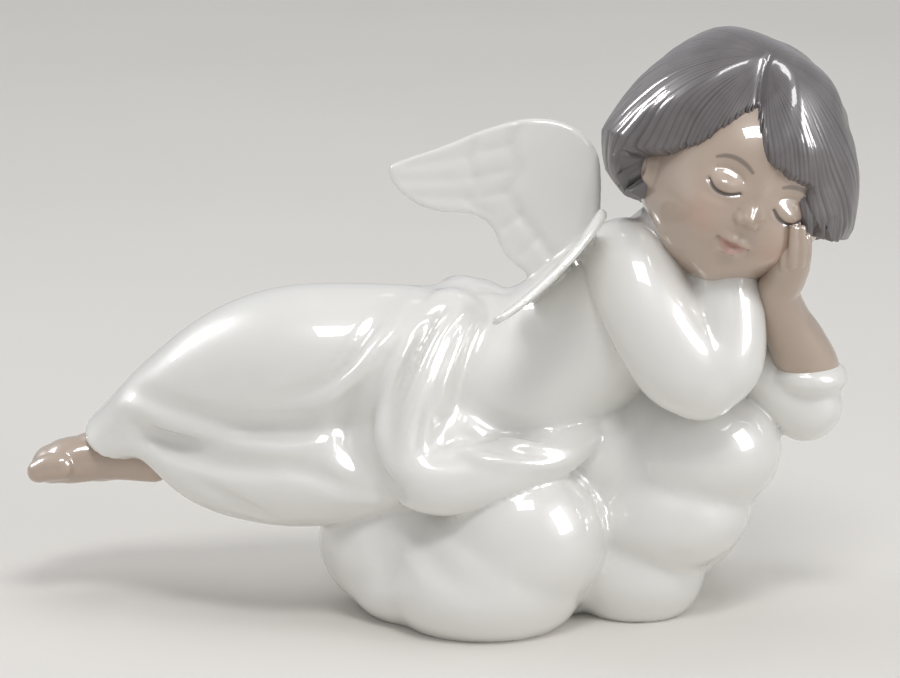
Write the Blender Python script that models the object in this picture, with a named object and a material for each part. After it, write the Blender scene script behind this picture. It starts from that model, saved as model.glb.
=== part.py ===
"""Sleeping angel on a cloud, a glazed porcelain figurine cast and fired as one piece.

The angel lies along X with its feet at -X and its head at +X. The front faces -Y and the cloud stands on
z = 0, with the origin under the middle of the cloud. The tables of forms are in grid units, GRID of them from
toes to hair, so each form is a share of that length. UNIT turns them into metres where a shape is made.
"""

import math

import bmesh
import bpy
import numpy as np
from mathutils import Matrix, Vector
from mathutils.bvhtree import BVHTree

# Driving sizes, in metres
FIGURE_LENGTH = 0.190
WING_THICKNESS = 0.0026
GRID = 190.0
UNIT = FIGURE_LENGTH / GRID

# How finely the forms are fused, in metres
FORM_VOXEL = 0.0010
FINE_VOXEL = 0.00062

# How many triangles the finished solid keeps, and how freely they are taken from face and hand
TRIANGLE_BUDGET = 9850
DETAIL_SHARE = 0.6
DETAIL_STRENGTH = 0.4

GLAZE_WHITE = (0.80, 0.79, 0.76, 1.0)
GLAZE_ROUGHNESS = 0.08

# The carving is laid out on the plane y = 0 and cast onto the forms: the front carving from a point before
# the figure and the back carving from one behind it.
FRONT_EYE = Vector((-17.2, -869.3, 294.1)) * UNIT
BACK_EYE = Vector((-17.2, 869.3, 294.1)) * UNIT


def object_from(name, points, faces):
    """A new mesh object in the scene."""
    mesh = bpy.data.meshes.new(name)
    mesh.from_pydata([tuple(p) for p in points], [], [tuple(f) for f in faces])
    made = bpy.data.objects.new(name, mesh)
    bpy.context.scene.collection.objects.link(made)
    return made


def ellipsoid(centre, radii, lean=0.0):
    """A ball stretched to three radii, leaning in the plane of the front by so many degrees."""
    made = object_from("ellipsoid", [], [])
    shape = bmesh.new()
    bmesh.ops.create_icosphere(shape, subdivisions=5, radius=1.0)
    turn = Matrix.Rotation(math.radians(lean), 4, "Y")
    size = Vector(radii) * UNIT
    shape.transform(Matrix.Translation(Vector(centre) * UNIT) @ turn @ Matrix.Diagonal((*size, 1.0)))
    shape.to_mesh(made.data)
    shape.free()
    return made


def smooth_path(stations, per_span=10):
    """A Catmull-Rom curve through the stations. Every value that a station holds is carried along."""
    p = np.array(stations, float)
    p = np.vstack([2 * p[0] - p[1], p, 2 * p[-1] - p[-2]])
    t = np.linspace(0, 1, per_span, endpoint=False)[:, None]
    spans = []
    for a, b, c, d in zip(p, p[1:], p[2:], p[3:]):
        curve = 2 * b + (c - a) * t + (2 * a - 5 * b + 4 * c - d) * t**2 + (3 * b - a - 3 * c + d) * t**3
        spans.append(curve / 2)
    return np.vstack([*spans, p[-2][None]])


def limb(stations, sides=40, cap_rings=7):
    """A tube with round ends through stations of x, y, z, half height and half depth.

    In a steep tube the half height is a half width instead, along x.
    """
    path = smooth_path(stations) * UNIT
    centres = path[:, :3]
    radii = path[:, 3:]
    along = np.gradient(centres, axis=0)
    along /= np.linalg.norm(along, axis=1)[:, None]
    rings = []
    angles = np.linspace(0, math.pi / 2, cap_rings, endpoint=False)[1:]
    for k in angles[::-1]:
        reach = radii[0].mean() * math.sin(k)
        rings.append((centres[0] - along[0] * reach, radii[0] * math.cos(k), along[0]))
    rings += list(zip(centres, radii, along))
    for k in angles:
        reach = radii[-1].mean() * math.sin(k)
        rings.append((centres[-1] + along[-1] * reach, radii[-1] * math.cos(k), along[-1]))
    turn = np.linspace(0, 2 * math.pi, sides, endpoint=False)[:, None]
    whole = centres[-1] - centres[0]
    steep = abs(whole[2]) > 0.85 * np.linalg.norm(whole)
    hint = np.array((-1.0, 0.0, 0.0) if steep else (0.0, 0.0, 1.0))
    points = []
    for centre, radius, way in rings:
        height = hint - way * (hint @ way)
        height /= np.linalg.norm(height)
        depth = np.cross(way, height)
        points.append(centre + np.cos(turn) * radius[0] * height + np.sin(turn) * radius[1] * depth)
    points = np.vstack(points)
    faces = []
    for ring in range(len(rings) - 1):
        for side in range(sides):
            following = (side + 1) % sides
            low, high = ring * sides, (ring + 1) * sides
            faces.append((low + side, low + following, high + following, high + side))
    faces.append(tuple(range(sides))[::-1])
    faces.append(tuple(range(len(points) - sides, len(points))))
    return object_from("limb", points, faces)


def evaluated_mesh(made):
    """The mesh of an object with its modifiers worked out."""
    graph = bpy.context.evaluated_depsgraph_get()
    return bpy.data.meshes.new_from_object(made.evaluated_get(graph))


def fuse(name, forms, voxel, blend):
    """One skin round all the forms, with the creases between them rounded to about blend."""
    shape = bmesh.new()
    for form in forms:
        shape.from_mesh(form.data)
        bpy.data.objects.remove(form)
    joined = object_from(name, [], [])
    shape.to_mesh(joined.data)
    shape.free()
    skin = joined.modifiers.new("skin", "REMESH")
    skin.mode = "VOXEL"
    skin.voxel_size = voxel
    soften = joined.modifiers.new("soften", "SMOOTH")
    soften.factor = 0.5
    soften.iterations = max(1, round((2 * blend * UNIT / voxel) ** 2))
    joined.data = evaluated_mesh(joined)
    joined.modifiers.clear()
    return joined


def points_of(made):
    """The vertices and the normals of an object's mesh as arrays."""
    count = len(made.data.vertices)
    points = np.empty(count * 3)
    normals = np.empty(count * 3)
    made.data.vertices.foreach_get("co", points)
    made.data.vertices.foreach_get("normal", normals)
    return points.reshape(-1, 3), normals.reshape(-1, 3)


def move_points(made, points):
    made.data.vertices.foreach_set("co", points.ravel())
    made.data.update()


def cast(made, drawn, eye):
    """Lays a line drawn on the plane y = 0 onto an object, as seen from the eye."""
    tree = BVHTree.FromObject(made, bpy.context.evaluated_depsgraph_get())
    laid = []
    for x, z in smooth_path(drawn):
        hit = tree.ray_cast(eye, (Vector((x, 0, z)) * UNIT - eye).normalized())[0]
        if hit is not None:
            laid.append(hit)
    return np.array(laid)


def press(made, strokes, eye=FRONT_EYE):
    """Raises or sinks the skin along strokes, each a drawn line, a half width and a height."""
    laid = [(cast(made, line, eye), width * UNIT, height * UNIT) for line, width, height in strokes]
    for line, width, height in laid:
        if not len(line):
            continue
        points, normals = points_of(made)
        near = np.all((points > line.min(0) - width) & (points < line.max(0) + width), axis=1)
        chosen = np.flatnonzero(near)
        gaps = np.linalg.norm(points[chosen, None, :] - line[None], axis=2)
        nearest = gaps.argmin(1)
        gap = gaps[np.arange(len(chosen)), nearest]
        ends = np.sin(math.pi * (nearest + 1) / (len(line) + 1)) ** 0.6
        rise = height * ends * np.where(gap < width, np.cos(gap / width * math.pi / 2) ** 2, 0)
        points[chosen] += normals[chosen] * rise[:, None]
        move_points(made, points)


def cut(made, point, away):
    """Takes off what lies beyond a plane and closes the cut with one flat face."""
    shape = bmesh.new()
    shape.from_mesh(made.data)
    everything = shape.verts[:] + shape.edges[:] + shape.faces[:]
    bmesh.ops.bisect_plane(
        shape, geom=everything, dist=1e-6, plane_co=Vector(point) * UNIT, plane_no=away, clear_outer=True
    )
    bmesh.ops.edgeloop_fill(shape, edges=[edge for edge in shape.edges if edge.is_boundary])
    bmesh.ops.recalc_face_normals(shape, faces=shape.faces)
    shape.to_mesh(made.data)
    shape.free()


# Robe

# Where the hem crosses the ankles: a point on it and the way down to the bare foot.
HEM_POINT = (-91, -5, 34.6)
HEM_DOWN = (-0.40, 0.26, -0.88)

# Each fold is a line on the front plane, x and z, then its half width and its height.
FRONT_FOLDS = [
    # the crease between the thigh and the cloth gathered at the hip, and the ridge beside it
    ([(-27.7, 73), (-32, 67.5), (-36.2, 61), (-40.5, 55), (-45, 51), (-51, 48), (-58, 45.5)], 4.0, -1.7),
    ([(-25.5, 73), (-28.6, 65), (-34.3, 58), (-39.4, 52), (-46, 47), (-53, 44.5)], 4.0, 1.9),
    # four gathers that sweep from the waist down to the lap, and the valleys between them
    ([(-20.6, 71.5), (-26.8, 61), (-31.4, 50), (-33.2, 42), (-33.6, 35)], 3.4, 1.9),
    ([(-17, 69), (-21.5, 63), (-26.6, 54), (-29.8, 45.5), (-31.4, 38)], 2.4, -1.7),
    ([(-14.9, 69), (-19.5, 61), (-24.3, 49), (-26.8, 41), (-28, 33)], 3.2, 1.5),
    ([(-17, 60), (-21.2, 50), (-24.2, 41), (-25.4, 34)], 1.8, -0.9),
    ([(-19.5, 54), (-21.8, 48), (-22.8, 42), (-24, 32)], 2.2, 1.0),
    ([(-12.5, 66), (-16.5, 58), (-19, 50), (-19.8, 44)], 2.6, 1.1),
    ([(-9, 66), (-12, 58), (-15, 49), (-16, 42)], 3.2, -0.9),
    # the deep valley to the left of the gathers
    ([(-36.5, 50), (-39.6, 43), (-39.8, 36), (-36.6, 30), (-31.5, 25.5), (-27, 23)], 6.0, -3.0),
    # the two soft folds that run along the belly to the corner under the arm
    ([(-13, 41), (-9.5, 39), (-4, 37), (3.2, 35.4), (12, 35)], 2.2, 1.1),
    ([(-16.5, 36), (-13, 34), (-6.6, 32), (3.2, 31.4), (12, 32.6)], 2.4, 1.3),
    ([(-14, 37.6), (-5.7, 34.5), (3.2, 33.3), (11, 33.8)], 1.6, -0.9),
    ([(-13, 47), (-6, 41.2), (4, 38), (14, 38.2)], 4.0, -1.3),
    # the two legs under the cloth, and the creases below the knee
    ([(-90, 48), (-79, 44), (-66.5, 41), (-56, 41), (-47, 43.5)], 5.0, -1.3),
    ([(-93, 45.5), (-86, 42.7), (-74.5, 39), (-64, 35.6), (-53.5, 35), (-46, 38)], 4.4, 1.7),
    ([(-91, 43), (-85, 38), (-78, 34.3), (-68.7, 31.2), (-58.4, 30.4), (-50, 31)], 4.6, -1.8),
    ([(-55, 30.5), (-48, 28.6), (-40, 25.4), (-30, 23)], 3.6, -1.5),
    ([(-77, 27.4), (-66.5, 22), (-59, 18.4)], 2.8, -1.2),
    # a tuck at the waist
    ([(-12, 72.5), (-8, 73), (-3.5, 71.8)], 1.8, -1.0),
]

BACK_FOLDS = [
    ([(-14, 74), (-22, 62), (-26, 48), (-24, 34)], 4.6, 1.6),
    ([(-8, 72), (-14, 60), (-17, 46), (-15, 34)], 3.6, 1.4),
    ([(-20, 72), (-29, 60), (-33, 46), (-31, 33)], 4.0, -1.3),
    ([(-11, 71), (-18, 58), (-21, 45), (-20, 34)], 2.6, -1.1),
    ([(-84, 46), (-70, 42), (-56, 41), (-42, 45)], 5.0, -1.5),
    ([(-74, 52), (-62, 55), (-48, 58), (-34, 62)], 4.0, -0.9),
]


def robe():
    """The gown over legs, hips and chest, with the cloth gathered at the hip and rolled over the cloud."""
    legs = limb([
        (-19.5, -2, 54.5, 19.2, 18),
        (-37.7, -6, 56.5, 19.0, 19),
        (-53.6, -7, 56.5, 18.6, 18),
        (-67.3, -6, 53.1, 16.4, 15),
        (-80.1, -2, 47.6, 11.6, 14),
        (-90.7, 1.5, 40.6, 8.0, 13),
        (-98.5, 2.5, 34.8, 6.3, 12),
        (-104, 2.5, 30.0, 6.0, 11.5),
    ])
    drape = limb([
        (-12.5, -10, 42.5, 13.0, 13),
        (-19.5, -12, 40.5, 14.4, 15),
        (-33.1, -13, 37.7, 14.2, 15),
        (-46.7, -13, 34.8, 13.6, 15),
        (-59.3, -11, 33.8, 12.6, 15),
        (-70.9, -8, 34.0, 9.8, 13),
        (-82.6, -2, 38.5, 5.0, 13),
        (-92.0, 1, 38.0, 4.5, 12),
    ])
    hip = limb([(-14, 2, 58, 17, 17), (-20, -8, 42, 16, 16)])
    chest = limb([
        (-17.2, -1, 52.0, 21.0, 20),
        (-5.7, -1, 51.3, 20.4, 21),
        (5.7, -1, 56.0, 19.4, 21),
        (16.9, -2, 65.6, 18.0, 19),
        (25.9, -2, 75.0, 16.5, 18),
        (32.0, -3, 83.0, 11.0, 16),
    ])
    swath = limb([
        (-17, -8, 66, 9.5, 9),
        (-23, -17, 56, 8.5, 9),
        (-26.5, -22, 46, 8.0, 8),
        (-26, -25.5, 38, 7.6, 8),
        (-19, -28, 35.4, 7.6, 8),
        (-8, -27.5, 37.2, 7.4, 7.5),
        (3, -23.5, 39.4, 6.2, 6.6),
        (11, -18.0, 41.4, 4.6, 5),
        (17, -13, 43.2, 3.0, 3.6),
    ])
    made = fuse("robe", [legs, drape, hip, chest, swath], FORM_VOXEL, 1.9)
    press(made, FRONT_FOLDS)
    press(made, BACK_FOLDS, BACK_EYE)
    cut(made, HEM_POINT, HEM_DOWN)
    return fuse("robe", [made], FORM_VOXEL * 0.8, 0.8)


# Arms, hand and feet

def near_arm():
    """The right arm, folded under the chin with its elbow on the cloud."""
    upper = limb([
        (22.5, -10, 82.3, 9.6, 10.5),
        (24.5, -15, 79.6, 10.2, 11),
        (27.5, -20, 72.5, 10.4, 11),
        (33.5, -23.5, 63.0, 10.8, 11),
        (38.5, -24, 59.6, 10.6, 10.5),
    ])
    fore = limb([
        (38.5, -24, 59.8, 10.6, 10.5),
        (43.6, -22.5, 63.0, 9.6, 10),
        (45.2, -19.5, 71.0, 8.2, 9),
        (44.4, -15, 79.0, 7.7, 8.5),
        (43.0, -10, 85.0, 7.8, 8.5),
    ])
    return fuse("near_arm", [upper, fore], FORM_VOXEL, 0.9)


def far_sleeve():
    """The left sleeve, from the far shoulder down to the elbow, with its rolled cuff."""
    sleeve = limb([
        (38.0, 6, 78.0, 11, 12),
        (46.5, 3, 67.0, 10, 12),
        (55.5, -4, 55.0, 8.0, 10),
        (64.0, -8, 47.8, 8.6, 7.8),
    ])
    cuff = ellipsoid((63.8, -8.0, 55.2), (9.6, 9.6, 4.5), lean=4)
    return fuse("far_sleeve", [sleeve, cuff], FORM_VOXEL * 0.7, 0.5)


# The four fingers, each with its root, its tip and its half thickness.
FINGERS = [
    ((56.5, -27.0, 84.8), (56.3, -27.5, 91.0), 1.15),
    ((58.1, -28.5, 85.8), (58.2, -30.0, 94.4), 1.2),
    ((59.9, -28.0, 86.0), (60.1, -29.8, 94.2), 1.15),
    ((61.4, -26.5, 86.0), (61.5, -27.8, 92.0), 1.05),
]


def hand():
    """The left forearm and the hand that holds the cheek."""
    forms = [limb([
        (64.6, -7.5, 55.0, 7.2, 7.0),
        (63.3, -9.0, 58.4, 7.2, 7.0),
        (60.8, -12, 64.2, 6.5, 6.3),
        (58.0, -15, 69.9, 5.7, 5.6),
        (55.9, -19, 77.2, 4.9, 4.8),
        (57.3, -21.5, 80.8, 4.6, 4.2),
        (58.4, -24.5, 84.5, 4.2, 3.4),
        (59.0, -26.5, 87.0, 3.6, 2.6),
    ])]
    for root, tip, thick in FINGERS:
        root, tip = Vector(root), Vector(tip)
        middle = root.lerp(tip, 0.5) + Vector((0.1, -0.5, 0))
        forms.append(limb([
            (*root, thick, thick * 1.2),
            (*middle, thick, thick * 1.15),
            (*tip, thick * 0.8, thick * 0.85),
        ], sides=20, cap_rings=4))
    return fuse("hand", forms, FINE_VOXEL * 0.8, 0.3)


# The toes from the big one outwards, each with its reach and its half thickness.
TOES = [(0.6, 3.0), (1.2, 2.3), (0.8, 2.1), (0.0, 1.9), (-0.9, 1.7)]
# Where the two feet lie, measured from the near one.
NEAR_FOOT_SHIFT = (0, 0, 0)
FAR_FOOT_SHIFT = (6.0, 10.0, -2.6)


def foot(shift):
    """A bare foot pointing to -X with its sole down, moved by shift from the near foot's place."""
    sole = limb([
        (-85.5, -2.4, 32.3, 4.4, 5.0),
        (-94.0, -2.6, 33.0, 4.5, 4.6),
        (-100.5, -2.8, 33.5, 5.4, 5.1),
        (-105.5, -3.0, 33.0, 5.3, 5.8),
        (-108.4, -3.2, 32.4, 4.5, 5.6),
    ])
    ankle = limb([(-86, -2, 38.5, 5.2, 5), (-95.5, -2.2, 36.8, 4.4, 4.4), (-102.5, -2.6, 35.4, 3.4, 4.0)])
    toes = []
    for number, (reach, thick) in enumerate(TOES):
        across = -7.4 + number * 2.3
        toes.append(limb([
            (-106.2, across, 33.0, thick * 1.1, thick),
            (-108.8 - reach * 0.5, across, 32.6, thick * 1.05, thick),
            (-110.8 - reach, across, 31.8, thick * 0.9, thick * 0.9),
        ], sides=20, cap_rings=4))
    made = fuse("foot", [sole, ankle, *toes], FINE_VOXEL * 0.8, 0.35)
    points, _ = points_of(made)
    move_points(made, points + np.array(shift) * UNIT)
    return made


# Cloud

# The soft valleys between the cloud's front lobes, as lines on the front plane, half widths and heights.
CLOUD_CREASES = [
    ([(-25.5, 20), (-24, 14), (-21.5, 8), (-16.5, 3), (-8, 0)], 6.0, -1.3),
    ([(-33.5, 20), (-32.6, 12), (-30.5, 5), (-28, -1)], 6.5, -1.0),
]


def cloud():
    """Heaped round lobes. Those at the back are plainer copies of those in front."""
    core = [
        ellipsoid((-4, -2, 16), (34, 26, 22)),
        ellipsoid((30, 0, 28), (24, 20, 26)),
        ellipsoid((17, -5, 38), (12, 14, 13)),
    ]
    front = [
        ellipsoid((-1.0, -20.5, 20.0), (19.0, 18.5, 18.5)),
        ellipsoid((-9.5, -18.5, 11.0), (24.0, 21.5, 17.0)),
        ellipsoid((-27.0, -8, 16.0), (20.5, 19, 17.5)),
        ellipsoid((-24.0, -13, 8.5), (17.0, 16, 11.5)),
        ellipsoid((25.5, -9, 9.0), (16.0, 16, 14.0)),
        ellipsoid((33.5, -10, 23.0), (18.5, 17.5, 13.5), lean=-10),
        ellipsoid((41.0, -9, 37.5), (17.6, 17, 14.8), lean=-6),
    ]
    back = [
        ellipsoid((-24, 14, 14), (18, 17, 17)),
        ellipsoid((2, 21, 13), (20, 16, 18)),
        ellipsoid((30, 14, 12), (18, 17, 16)),
        ellipsoid((38, 12, 32), (17, 15, 16)),
        ellipsoid((8, 16, 34), (19, 14, 15)),
    ]
    made = fuse("cloud", core + front + back, FORM_VOXEL, 2.3)
    press(made, CLOUD_CREASES)
    return made


# Wings

# The outline of a wing, from its root up and round the tip to the foot of its root, in the wing's own plane:
# outwards along the feathers, then up.
WING_OUTLINE = [
    (-7.5, 6.0), (-7.6, 15.0), (-6.4, 21.5), (-1.5, 26.8), (7.0, 28.9), (17.0, 27.0),
    (28.9, 22.3), (37.5, 19.2), (41.0, 17.4), (40.0, 13.4), (35.0, 9.2), (29.0, 7.2),
    (21.5, 6.6), (17.2, 3.6), (14.6, -1.8), (10.6, -5.6), (6.5, -7.8), (-1.0, -2.0),
]
WING_HEART = (9.0, 12.0)
WING_REACH = max(out for out, _ in WING_OUTLINE)
# how thick the tip is beside the root
WING_TIP_SHARE = 0.65
# how far in from its edge the plate rounds over, as a share of its thickness
WING_RIM_SHARE = 0.55

# The lines where one row of feathers overlaps the next, and the quills within the rows, in the wing's plane.
# Each line has its half width and, as a share of the wing's thickness, its depth.
INNER_ROW = [(11.5, 27.2), (12.6, 21.5), (11.4, 16.5), (13.0, 11.5), (10.5, 6.5), (6.5, 1.5), (3.0, -3.0)]
OUTER_ROW = [(21.0, 24.8), (22.6, 19.0), (21.2, 14.0), (22.4, 9.5), (18.0, 6.0)]
FEATHER_ROWS = [(INNER_ROW, 1.5, 0.25), (OUTER_ROW, 1.4, 0.22)]
QUILLS = [
    ([(13.5, 22.6), (21.0, 20.8)], 1.0, 0.12),
    ([(13.0, 16.8), (21.0, 15.2)], 1.0, 0.12),
    ([(13.8, 11.8), (20.5, 10.4)], 1.0, 0.12),
    ([(10.5, 6.6), (15.4, 3.4)], 1.0, 0.12),
    ([(6.5, 1.6), (11.5, -3.2)], 1.0, 0.12),
    ([(23.0, 20.0), (37.0, 17.6)], 1.1, 0.11),
    ([(22.8, 14.8), (38.5, 14.2)], 1.1, 0.11),
    ([(23.0, 10.4), (35.5, 10.6)], 1.1, 0.11),
]


# The two wings, each with its origin, its ways outwards and upwards, its size, its bow and its slant.
FAR_WING = ((9.5, 1.5, 83.0), (-1.0, 0.05, 0.0), (0.0, 0.26, 0.97), 1.0, 2.2, 0)
NEAR_WING = ((6.6, -12.2, 79.9), (-0.53, -0.79, -0.355), (0.44, -0.60, 0.645), 0.88, 8.0, 40)


def wing(origin, outwards, upwards, size, bow, slant):
    """A plate with a rounded rim and sunk feather lines, in the plane of outwards and upwards.

    The bow is how far it curls out of that plane over the reach of a wing. The slant, in degrees, turns the
    line across which it curls from outwards to downwards.
    """
    rim = smooth_path([*WING_OUTLINE, WING_OUTLINE[0]], per_span=8)[:-1]
    heart = np.array(WING_HEART)
    shares = np.sin(np.linspace(0, math.pi / 2, 34))
    rows = [heart + (rim - heart) * share for share in shares[1:]]
    flat = np.vstack([heart[None], *rows])
    reach = np.linalg.norm(rim - heart, axis=1)
    inset = np.concatenate([[reach.max()], np.outer(1 - shares[1:], reach).ravel()]) * UNIT
    rounding = 1 - np.clip(inset / (WING_THICKNESS * WING_RIM_SHARE), 0, 1)
    along = flat[:, 0] / WING_REACH
    half = WING_THICKNESS / 2 * np.sqrt(1 - rounding**2)
    half *= 1 - (1 - WING_TIP_SHARE) * np.clip(along, 0, 1)
    for line, width, depth in FEATHER_ROWS + QUILLS:
        drawn = smooth_path(line)
        gap = np.linalg.norm(flat[:, None] - drawn[None], axis=2).min(1)
        half -= depth * WING_THICKNESS * np.exp(-((gap / width) ** 2)) * np.clip(inset / WING_THICKNESS, 0, 1)
    half = np.maximum(half, 0)
    out, up = Vector(outwards).normalized(), Vector(upwards)
    up = (up - out * up.dot(out)).normalized()
    face = np.array(out.cross(up))
    slanted = math.radians(slant)
    across = (flat[:, 0] * math.cos(slanted) - flat[:, 1] * math.sin(slanted)) / WING_REACH
    curl = bow * across**2
    laid = size * (flat[:, :1] * np.array(out) + flat[:, 1:] * np.array(up)) + curl[:, None] * face
    laid = (laid + origin) * UNIT
    around = len(rim)
    rings = len(shares) - 1
    front = laid + half[:, None] * face
    back = laid - half[:, None] * face
    back_start = len(front)
    points = np.vstack([front, back[: 1 + (rings - 1) * around]])
    faces = []
    for side in range(around):
        after = (side + 1) % around
        faces.append((0, 1 + side, 1 + after))
        faces.append((back_start, back_start + 1 + after, back_start + 1 + side))
        for ring in range(rings - 1):
            inner, outer = 1 + ring * around, 1 + (ring + 1) * around
            faces.append((inner + side, outer + side, outer + after, inner + after))
            # the last ring is the rim itself, which both faces of the plate share
            shared = 0 if ring == rings - 2 else back_start
            low = back_start + inner
            high = shared + outer
            faces.append((low + after, high + after, high + side, low + side))
    return object_from("wing", points, faces)


# Head

HEAD_CENTRE = (48.6, -8.0, 102.8)
HEAD_NOD, HEAD_TURN, HEAD_TILT = -12.6, 5.4, 27.1

SKULL = ((0.0, -1.6, 0.2), (21.6, 25.4, 23.2))
HAIR = ((-3.0, 1.4, -0.8), (26.4, 31.0, 28.4))

# How far the bob stands out from that ball, by elevation, on the figure's right and on its left, and how low
# it hangs, by azimuth.
FLARE_RIGHT = [(-60, -6), (-42, -4.0), (-25, 1.2), (-10, 3.4), (10, 1.2), (30, 0)]
FLARE_LEFT = [
    (-60, -5), (-40, 0.4), (-20, 4.4), (-4, 4.5), (14, 2.2), (25, 0.9), (44, -1.5), (65, -2.2), (85, -1.2),
]
# how much flatter the crown is than that ball
CROWN_SINK = 3.0
HEM_HANGS = [
    (-180, -28), (-130, -36), (-84, -40), (-70, -32),
    (36, -21), (48, -18), (62, -11), (90, -9), (130, -17), (180, -28),
]

# The face and neck within the hair, as azimuth and elevation in degrees seen from the middle of the head:
# 0, 0 is straight ahead and a positive azimuth is the figure's own left.
FACE_EDGE = [
    (-23, 33), (-29, 26), (-34, 17), (-42, 3), (-54, -7), (-66, -13), (-80, -18), (-84, -27),
    (-80, -40), (-78, -95), (96, -95), (96, -14), (62, -12), (44, -17), (33, -18), (28, -15),
    (26, -4), (24, 3), (18, 3), (11, 3), (4, 5), (-4, 6), (-9, 11), (-14, 19), (-19, 27),
]
PARTING = (-31, 49)
STRANDS = 62
# how thick the fringe lies on the brow and how far back it thickens, in degrees, and how high the locks stand
FRINGE_THICK = 1.1
FRINGE_REACH = 20
LOCK_HEIGHT = 0.95

# Relief of the face: azimuth, elevation, both spreads and height. Those with an azimuth come on both sides.
FACE_FORMS = [
    (0, 12, 34, 16, 0.7),
    (20, -8.5, 9.5, 6.5, -1.0),
    (20.5, -13.5, 7.5, 4.6, 1.35),
    (20.5, -21.5, 8.0, 3.0, -0.35),
    (0, -13, 3.4, 9, 0.8),
    (0, -24, 4.0, 4.6, 2.9),
    (5.2, -27.2, 2.6, 2.7, 1.2),
    (27, -33, 16, 14, 2.2),
    (3.2, -38.2, 4.0, 2.5, 1.2),
    (8.0, -39.6, 3.6, 2.1, 0.6),
    (0, -45.0, 6.2, 3.0, 1.6),
    (13.0, -42.0, 2.6, 3.0, -0.35),
    (0, -51.5, 8, 3.2, -0.8),
    (0, -65, 20, 10, 1.6),
]
# Fine creases of the face: the line, the half width in degrees and the depth.
FACE_CREASES = [
    ([(10.8, -15.8), (15, -18.2), (20, -19.2), (25, -18.4), (29.8, -15.2)], 1.3, -0.55),
    ([(12, -8.8), (17, -6.4), (22, -5.8), (28, -8.0)], 1.4, -0.25),
    ([(-11.2, -41.0), (-5.6, -41.0), (0, -42.0), (5.6, -41.0), (11.2, -41.0)], 1.2, -0.7),
]
EAR = (-78, -23)


def ray_to_ellipsoid(ways, centre, radii):
    """How far each unit way from the origin runs to an ellipsoid round the origin."""
    w, c = ways / np.array(radii), np.array(centre) / np.array(radii)
    a, b, k = (w * w).sum(1), (w * c).sum(1), (c * c).sum() - 1
    return (b + np.sqrt(b * b - a * k)) / a


def angles_of(ways):
    return np.degrees(np.arctan2(ways[:, 0], ways[:, 2])), np.degrees(np.arcsin(np.clip(ways[:, 1], -1, 1)))


def way_to(azimuth, elevation):
    a, e = math.radians(azimuth), math.radians(elevation)
    return np.array((math.sin(a) * math.cos(e), math.sin(e), math.cos(a) * math.cos(e)))


def distance_to_line(places, line):
    """The distance from each place, in degrees, to a line of places."""
    best = np.full(len(places), 1e9)
    for start, end in zip(line, line[1:]):
        step = end - start
        share = np.clip(((places - start) @ step) / max(step @ step, 1e-9), 0, 1)
        best = np.minimum(best, np.linalg.norm(places - start - share[:, None] * step, axis=1))
    return best


def inside_polygon(places, corners):
    inside = np.zeros(len(places), bool)
    for (x0, y0), (x1, y1) in zip(corners, np.roll(corners, -1, axis=0)):
        crosses = (y0 > places[:, 1]) != (y1 > places[:, 1])
        at = x0 + (places[:, 1] - y0) * (x1 - x0) / (y1 - y0 if y1 != y0 else 1e-9)
        inside ^= crosses & (places[:, 0] < at)
    return inside


def ramp(values, start, end):
    t = np.clip((values - start) / (end - start), 0, 1)
    return t * t * (3 - 2 * t)


def strand_pattern(ways):
    """Where each way lies in the hair: how far from the parting, in degrees, and the height of its lock."""
    pole = way_to(*PARTING)
    first = np.cross(pole, (0, 0, 1.0))
    first /= np.linalg.norm(first)
    second = np.cross(pole, first)
    far = np.degrees(np.arccos(np.clip(ways @ pole, -1, 1)))
    turn = np.arctan2(ways @ second, ways @ first) + 0.05 * np.sin(np.radians(far * 3))
    coarse = np.abs(np.sin(turn * STRANDS / 6 + 0.8 * np.sin(turn * 3)))
    fine = np.abs(np.sin(turn * STRANDS / 2 + 1.3 * np.sin(turn * 7)))
    return far, 0.6 * coarse + 0.4 * fine


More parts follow.
